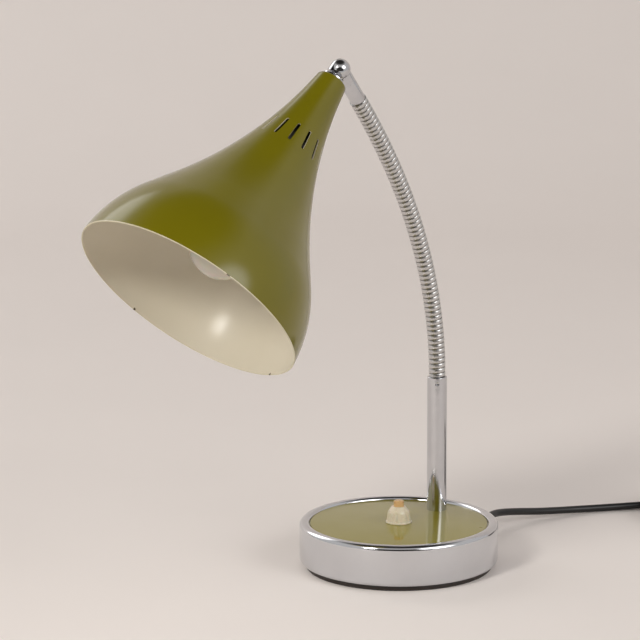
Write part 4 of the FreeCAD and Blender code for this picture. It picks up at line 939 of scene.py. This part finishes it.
carried = {
    "base_weight": "castIron", "bottom_cover": "brownMouldedPlastic", "cover_screws": "zincPlatedSteel",
    "stem_plug": "zincPlatedSteel", "stem_nipple": "zincPlatedSteel", "stem_washer": "zincPlatedSteel", "stem_nut": "zincPlatedSteel",
    "lower_knuckle": "chromePlatedTube", "upper_knuckle": "chromePlatedTube", "pivot_screw": "chromePlatedTube",
    "shade_lock_nut": "zincPlatedSteel", "holder_coupling": "zincPlatedSteel", "holder_nipple": "zincPlatedSteel",
    "holder_insert": "glazedPorcelain", "thread_sleeve": "plainBrass", "centre_contact": "plainBrass",
    "lamp_cap": "rolledAluminium", "switch_barrel": "blackPhenolic", "switch_body": "blackPhenolic",
    "switch_spring": "drawnSpringWire", "switch_terminals": "plainBrass", "cord_tie": "blackMouldedPlastic",
    "plug_body": "blackMouldedPlastic", "plug_pins": "nickelPlatedBrass",
}
for name, finish in carried.items():
    mesh = nodes[name].data
    mesh.materials.clear()
    mesh.materials.append(made[finish])
print("carried pieces finished")


# ---- floor, backdrop and light

stageSettings = {
    "paper": "#f3ebe6", "paperDark": "#f0e8e3", "floorFront": -0.6, "sweepStart": 1.4, "sweepRadius": 1.2,
    "sweepTop": 4.0, "halfWidth": 4.0, "world": "#d8d6d4", "worldStrength": 0.87,
    "wallAway": 3.2, "wallHalf": 2.4, "wallTop": 1.9, "ceiling": 3.3, "ceilingHalf": 3.4,
    "wallPaint": "#2b2928", "wallPaintDark": "#242221", "ceilingDark": 1.3, "ceilingLight": 3.3,
}
lamps = [
    # name, direction from the lamp as azimuth from +Y towards +X and elevation in degrees, metres away,
    # size, watts, tint
    ("keySoftbox", 178.0, 31.0, 2.6, (0.8, 0.8), 30.0, "#fffdf8"),
    ("leftSoftbox", -80.0, 30.0, 3.6, (4.2, 3.0), 31.0, "#ffffff"),
    ("rightSoftbox", 96.0, 26.0, 3.4, (3.2, 2.4), 40.0, "#ffffff"),
]


# Sweep: a floor that bends up behind the lamp in one quarter circle, square to the camera. Its back is clear,
# so that the lamp can be looked at from behind.
def makeStage():
    turn = math.radians(cameraView["turn"])
    ahead = np.array([-math.sin(turn), math.cos(turn), 0.0])
    right = np.array([math.cos(turn), math.sin(turn), 0.0])
    start, radius, top = stageSettings["sweepStart"], stageSettings["sweepRadius"], stageSettings["sweepTop"]
    bend = np.linspace(0, math.pi / 2, 33)
    reach = np.concatenate([[stageSettings["floorFront"], 0.0], start + radius * np.sin(bend), [start + radius]])
    height = np.concatenate([[0.0, 0.0], radius * (1 - np.cos(bend)), [top]])
    across = np.array([-1.0, 1.0]) * stageSettings["halfWidth"]
    points = reach[:, None, None] * ahead + across[None, :, None] * right + height[:, None, None] * np.array([0, 0, 1.0])
    mesh = meshFromGrid("studioSweep", points, closeColumns=False, sharp=60.0)
    piece = linkMesh("studioSweep", mesh)
    material, tree, shader, spot = startMaterial("paperSweep")
    fibre = addNode(tree, "TexNoise", {"Vector": spot, "Scale": scaleFor(180.0), "Detail": 2.0})
    tone = mixColours(tree, fibre.outputs["Fac"], stageSettings["paper"], stageSettings["paperDark"])
    tree.links.new(tone, shader.inputs["Base Color"])
    shader.inputs["Roughness"].default_value = 0.75
    shader.inputs["Specular IOR Level"].default_value = 0.25
    if mesh.polygons[0].normal.z < 0:
        mesh.flip_normals()
    clear = addNode(tree, "BsdfTransparent")
    behind = addNode(tree, "NewGeometry").outputs["Backfacing"]
    seen = addNode(tree, "MixShader", {0: behind, 1: shader.outputs["BSDF"], 2: clear.outputs["BSDF"]})
    tree.links.new(seen.outputs["Shader"], tree.nodes["Material Output"].inputs["Surface"])
    mesh.materials.append(material)


# The dark room round the stage, which the chromium mirrors as dark lines: a wall behind the camera, and a
# ceiling whose dark middle fades out to the light of the room. The camera itself looks through both.
def makeRoom():
    wallPaint, wallTree, wallShader, spot = startMaterial("darkRoomPaint")
    ceilingPaint, ceilingTree, ceilingShader, over = startMaterial("ceilingPaint")
    for tree, shader, place in ((wallTree, wallShader, spot), (ceilingTree, ceilingShader, over)):
        patch = addNode(tree, "TexNoise", {"Vector": place, "Scale": scaleFor(400.0)})
        tone = mixColours(tree, patch.outputs["Fac"], stageSettings["wallPaint"], stageSettings["wallPaintDark"])
        tree.links.new(tone, shader.inputs["Base Color"])
        shader.inputs["Roughness"].default_value = 0.9
    away = addNode(ceilingTree, "VectorMath", {0: over, 1: (0.0, 0.0, stageSettings["ceiling"])}, operation="DISTANCE")
    glow = addNode(ceilingTree, "MapRange", {"Value": away.outputs["Value"], "From Min": stageSettings["ceilingDark"],
                                             "From Max": stageSettings["ceilingLight"], "To Max": stageSettings["worldStrength"]},
                   interpolation_type="SMOOTHSTEP")
    ceilingTree.links.new(glow.outputs["Result"], ceilingShader.inputs["Emission Strength"])
    ceilingShader.inputs["Emission Color"].default_value = colour(stageSettings["world"])
    turn = math.radians(cameraView["turn"])
    ahead = np.array([-math.sin(turn), math.cos(turn), 0.0])
    right = np.array([math.cos(turn), math.sin(turn), 0.0])
    upward = np.array([0.0, 0.0, 1.0])
    side = np.array([-1.0, 1.0])[None, :, None]
    heights = np.array([-0.6, stageSettings["wallTop"]])[:, None, None]
    wall = -stageSettings["wallAway"] * ahead + side * stageSettings["wallHalf"] * right + heights * upward
    depths = np.array([-1.0, 1.0])[:, None, None] * stageSettings["ceilingHalf"]
    ceiling = depths * ahead + side * stageSettings["ceilingHalf"] * right + stageSettings["ceiling"] * upward
    for name, points, paint in (("roomWall", wall, wallPaint), ("roomCeiling", ceiling, ceilingPaint)):
        mesh = meshFromGrid(name, points, closeColumns=False)
        mesh.materials.append(paint)
        piece = linkMesh(name, mesh)
        piece.visible_camera = False


# Softbox whose light fades towards its edges, so that its mirror image has no hard outline.
def makeSoftbox(name, azimuth, elevation, away, size, watts, tint):
    data = bpy.data.lights.new(name, "AREA")
    data.shape = "ELLIPSE"
    data.size, data.size_y = size
    data.energy = watts
    data.color = colour(tint)[:3]
    data.use_nodes = True
    tree = data.node_tree
    spot = addNode(tree, "NewGeometry").outputs["Parametric"]
    middle = addNode(tree, "VectorMath", {0: spot, 1: (0.5, 0.5, 0.0)}, operation="DISTANCE")
    fade = addNode(tree, "MapRange", {"Value": middle.outputs["Value"], "From Min": 0.5, "From Max": 0.22, "To Max": 1.8},
                   interpolation_type="SMOOTHSTEP")
    tree.links.new(fade.outputs["Result"], tree.nodes["Emission"].inputs["Strength"])
    turn, rise = math.radians(azimuth), math.radians(elevation)
    way = Vector((math.sin(turn) * math.cos(rise), math.cos(turn) * math.cos(rise), math.sin(rise)))
    aim = Vector((0.0, -0.05, 0.15))
    light = bpy.data.objects.new(name, data)
    light.location = aim + way * away
    light.rotation_euler = (-way).to_track_quat("-Z", "Y").to_euler()
    bpy.context.scene.collection.objects.link(light)


def makeLights():
    for lamp in lamps:
        makeSoftbox(*lamp)
    world = bpy.data.worlds.new("studio")
    world.use_nodes = True
    world.node_tree.nodes["Background"].inputs["Color"].default_value = colour(stageSettings["world"])
    world.node_tree.nodes["Background"].inputs["Strength"].default_value = stageSettings["worldStrength"]
    bpy.context.scene.world = world
    bpy.context.scene.view_settings.view_transform = "Standard"


makeStage()
makeRoom()
makeLights()
print("stage and lights made")
